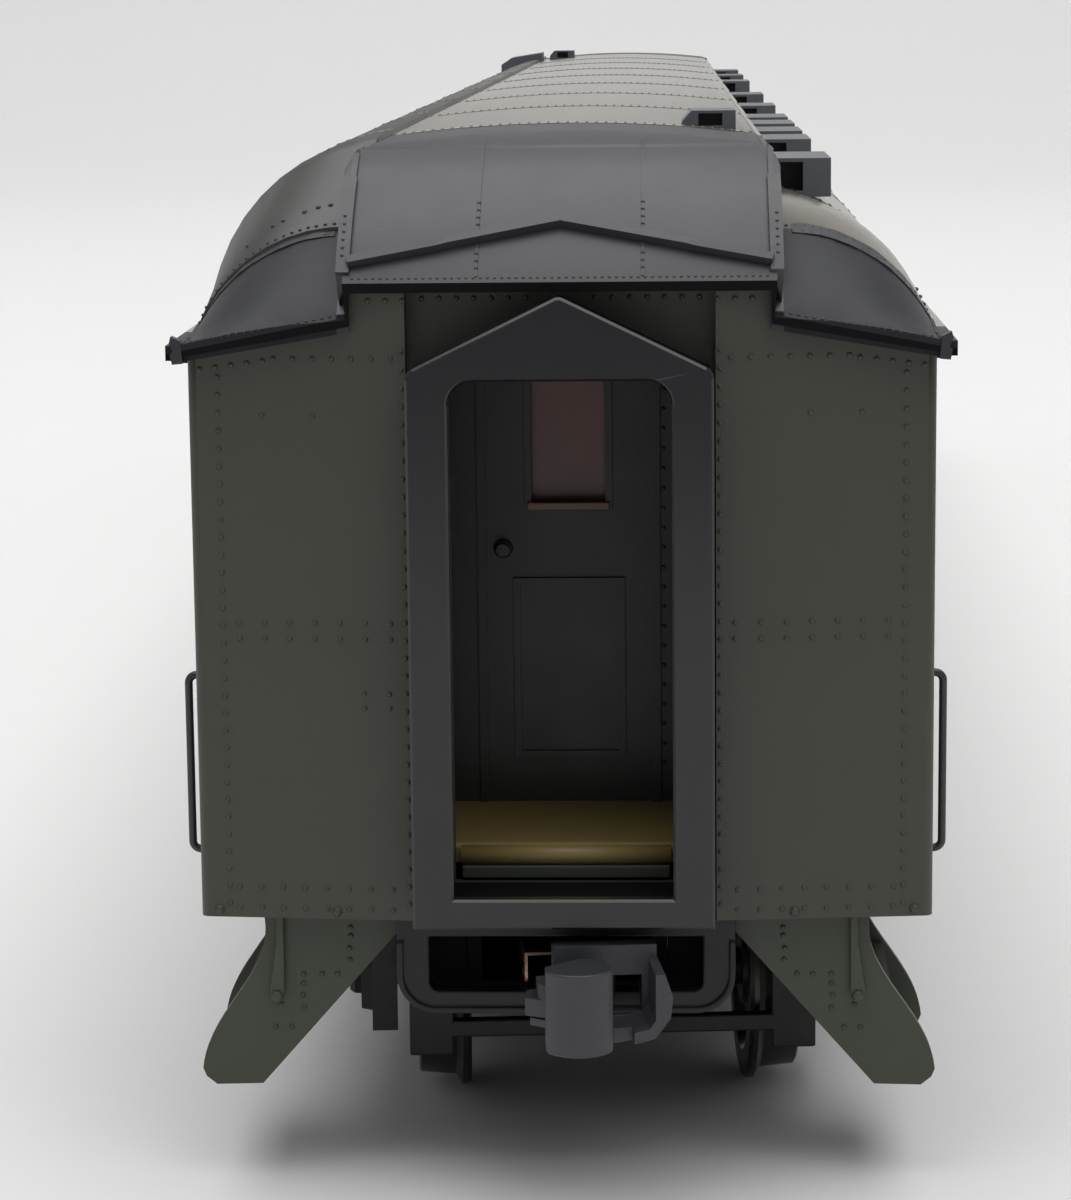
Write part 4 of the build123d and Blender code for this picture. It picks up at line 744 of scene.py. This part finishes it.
# ------------------------------------------------------------------ trucks: springs, bolts and journal lids
for end_name, turn in ENDS:
    placed = Matrix.Identity(4)
    if end_name == "front":
        placed = turned(Vector((0, -TRUCK_Y, 0)), TRUCK_SWIVEL_AT_REST)
    coils, lids, studs = Shape(), Shape(), Shape()
    for hand in (-1, 1):
        for axle in (-1, 0, 1):
            y = -turn * TRUCK_Y + axle * AXLE_PITCH
            x = hand * 13.15
            lids.lathe((x - hand * 0.5, y, AXLE_Z), (hand, 0, 0),
                       ((0, 1.2), (0.6, 1.15), (0.85, 0.95), (0.9, 0.3), (1.15, 0.28)), 6)
            for offset in (-1.2, 1.2):
                studs.lathe((hand * 12.5, y + offset, 8.2), (hand, 0, 0),
                            ((0, 0.26), (0.25, 0.24), (0.32, 0.1)), 6)
        for middle in (-1, 1):
            y = -turn * TRUCK_Y + middle * AXLE_PITCH / 2
            for offset in (-1.15, 1.15):
                path = [(hand * 12.1 + 0.6 * math.cos(t * math.tau / 10),
                         y + offset + 0.6 * math.sin(t * math.tau / 10),
                         5.1 + t * 0.045) for t in range(61)]
                coils.tube(path, 0.17, 6)
    lids.make(f"journal_lids_{end_name}", frame_black, body=f"{end_name}_truck", placed=placed, bevel=0.06)
    studs.make(f"truck_studs_{end_name}", frame_black, body=f"{end_name}_truck", placed=placed)
    coils.make(f"truck_springs_{end_name}", frame_black, body=f"{end_name}_truck", placed=placed, smooth=True)

# ------------------------------------------------------------------ pipes below the floor
pipes = Shape()
pipes.tube([(5.5, -70, 11.6), (5.5, -30, 11.6), (6.3, -26, 11.2),
            (6.3, 30, 11.2), (5.5, 34, 11.6), (5.5, 70, 11.6)], 0.32)
pipes.tube([(-4.2, -66, 11.4), (-4.2, 66, 11.4)], 0.25)
pipes.tube([(-4.2, -20, 11.4), (-8, -20, 11.4), (-10, -20, 11.9)], 0.25)
pipes.make("floor_pipes", frame_black, smooth=True)

# ------------------------------------------------------------------ stage
paper = moulded("paper", linear(231, 230, 229), 0.75, mottle=0.008, grain=0)
# painted shade: the paper gets a little greyer towards its front edge, standing in for the light falling off
# away from the lamps
shade = paper.node_tree.nodes.new("ShaderNodeSeparateXYZ")
paper.node_tree.links.new(paper.node_tree.nodes["Texture Coordinate"].outputs["Object"], shade.inputs[0])
shading = paper.node_tree.nodes.new("ShaderNodeMapRange")
shading.interpolation_type = "SMOOTHSTEP"
shading.inputs["From Min"].default_value = -0.26
shading.inputs["From Max"].default_value = -0.5
paper.node_tree.links.new(shade.outputs["Y"], shading.inputs["Value"])
repaint(paper, linear(150, 150, 151), 0.75, 0.3, shading.outputs["Result"])
rows = []
for y in (-1.8, -0.8, -0.25, 0.0, 0.5, 0.8):
    rows.append((y, 0.0))
for step in range(1, 13):
    angle = math.pi / 2 * step / 12
    rows.append((0.8 + 0.7 * math.sin(angle), 0.7 - 0.7 * math.cos(angle)))
rows.append((1.5, 2.6))
sweep_mesh = bpy.data.meshes.new("paper_sweep")
sweep_mesh.from_pydata([(x, y, z) for y, z in rows for x in (-2.2, 2.2)], [],
                       [(2 * i, 2 * i + 1, 2 * i + 3, 2 * i + 2) for i in range(len(rows) - 1)])
sweep_mesh.polygons.foreach_set("use_smooth", [True] * len(sweep_mesh.polygons))
sweep_mesh.materials.append(paper)
sweep = bpy.data.objects.new("paper_sweep", sweep_mesh)
scene.collection.objects.link(sweep)
sweep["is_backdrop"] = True


def softbox(name, location, aim, size, power):
    light = bpy.data.lights.new(name, "AREA")
    light.shape = "RECTANGLE"
    light.size, light.size_y = size
    light.energy = power
    lamp = bpy.data.objects.new(name, light)
    lamp.location = location
    lamp.rotation_mode = "QUATERNION"
    lamp.rotation_quaternion = (Vector(aim) - Vector(location)).to_track_quat("-Z", "Y")
    scene.collection.objects.link(lamp)


softbox("top_light", (0.0, 0.0, 1.3), (0, -0.05, 0), (1.6, 2.0), 21)
softbox("front_light", (0.35, -0.9, 0.9), (0.05, -0.15, 0.0), (0.8, 0.5), 1.3)

world = bpy.data.worlds.new("studio")
scene.world = world
world.use_nodes = True
sky_nodes, sky_links = world.node_tree.nodes, world.node_tree.links
sky = sky_nodes["Background"]
sky.inputs["Color"].default_value = (0.96, 0.97, 1.0, 1)
direction = sky_nodes.new("ShaderNodeTexCoord")
parts = sky_nodes.new("ShaderNodeSeparateXYZ")
sky_links.new(direction.outputs["Generated"], parts.inputs[0])
# the room is darker on the side that the front end faces
fade = sky_nodes.new("ShaderNodeMapRange")
fade.inputs["From Min"].default_value = -0.9
fade.inputs["From Max"].default_value = 0.4
fade.inputs["To Min"].default_value = 0.2
fade.inputs["To Max"].default_value = 0.53
sky_links.new(parts.outputs["Y"], fade.inputs["Value"])
sky_links.new(fade.outputs["Result"], sky.inputs["Strength"])

# ------------------------------------------------------------------ camera
CAMERA_AT = (4.87, -302.54, 56.54)
PITCH, YAW, ROLL = math.radians(9.70), math.radians(-2.17), math.radians(-0.61)
forward = Vector((math.sin(YAW) * math.cos(PITCH), math.cos(YAW) * math.cos(PITCH), -math.sin(PITCH)))
level_right = Vector((math.cos(YAW), -math.sin(YAW), 0))
level_up = level_right.cross(forward)
right = level_right * math.cos(ROLL) + level_up * math.sin(ROLL)
up = -level_right * math.sin(ROLL) + level_up * math.cos(ROLL)
camera_data = bpy.data.cameras.new("camera")
camera_data.sensor_width = 36
camera_data.lens = 105.03
camera_data.clip_start = 0.01
camera = bpy.data.objects.new("camera", camera_data)
scene.collection.objects.link(camera)
facing = Matrix((right, up, -forward)).transposed().to_4x4()
camera.matrix_world = Matrix.Translation(Vector(CAMERA_AT) * MM) @ facing
scene.camera = camera
scene.view_settings.view_transform = "Standard"

low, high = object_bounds()
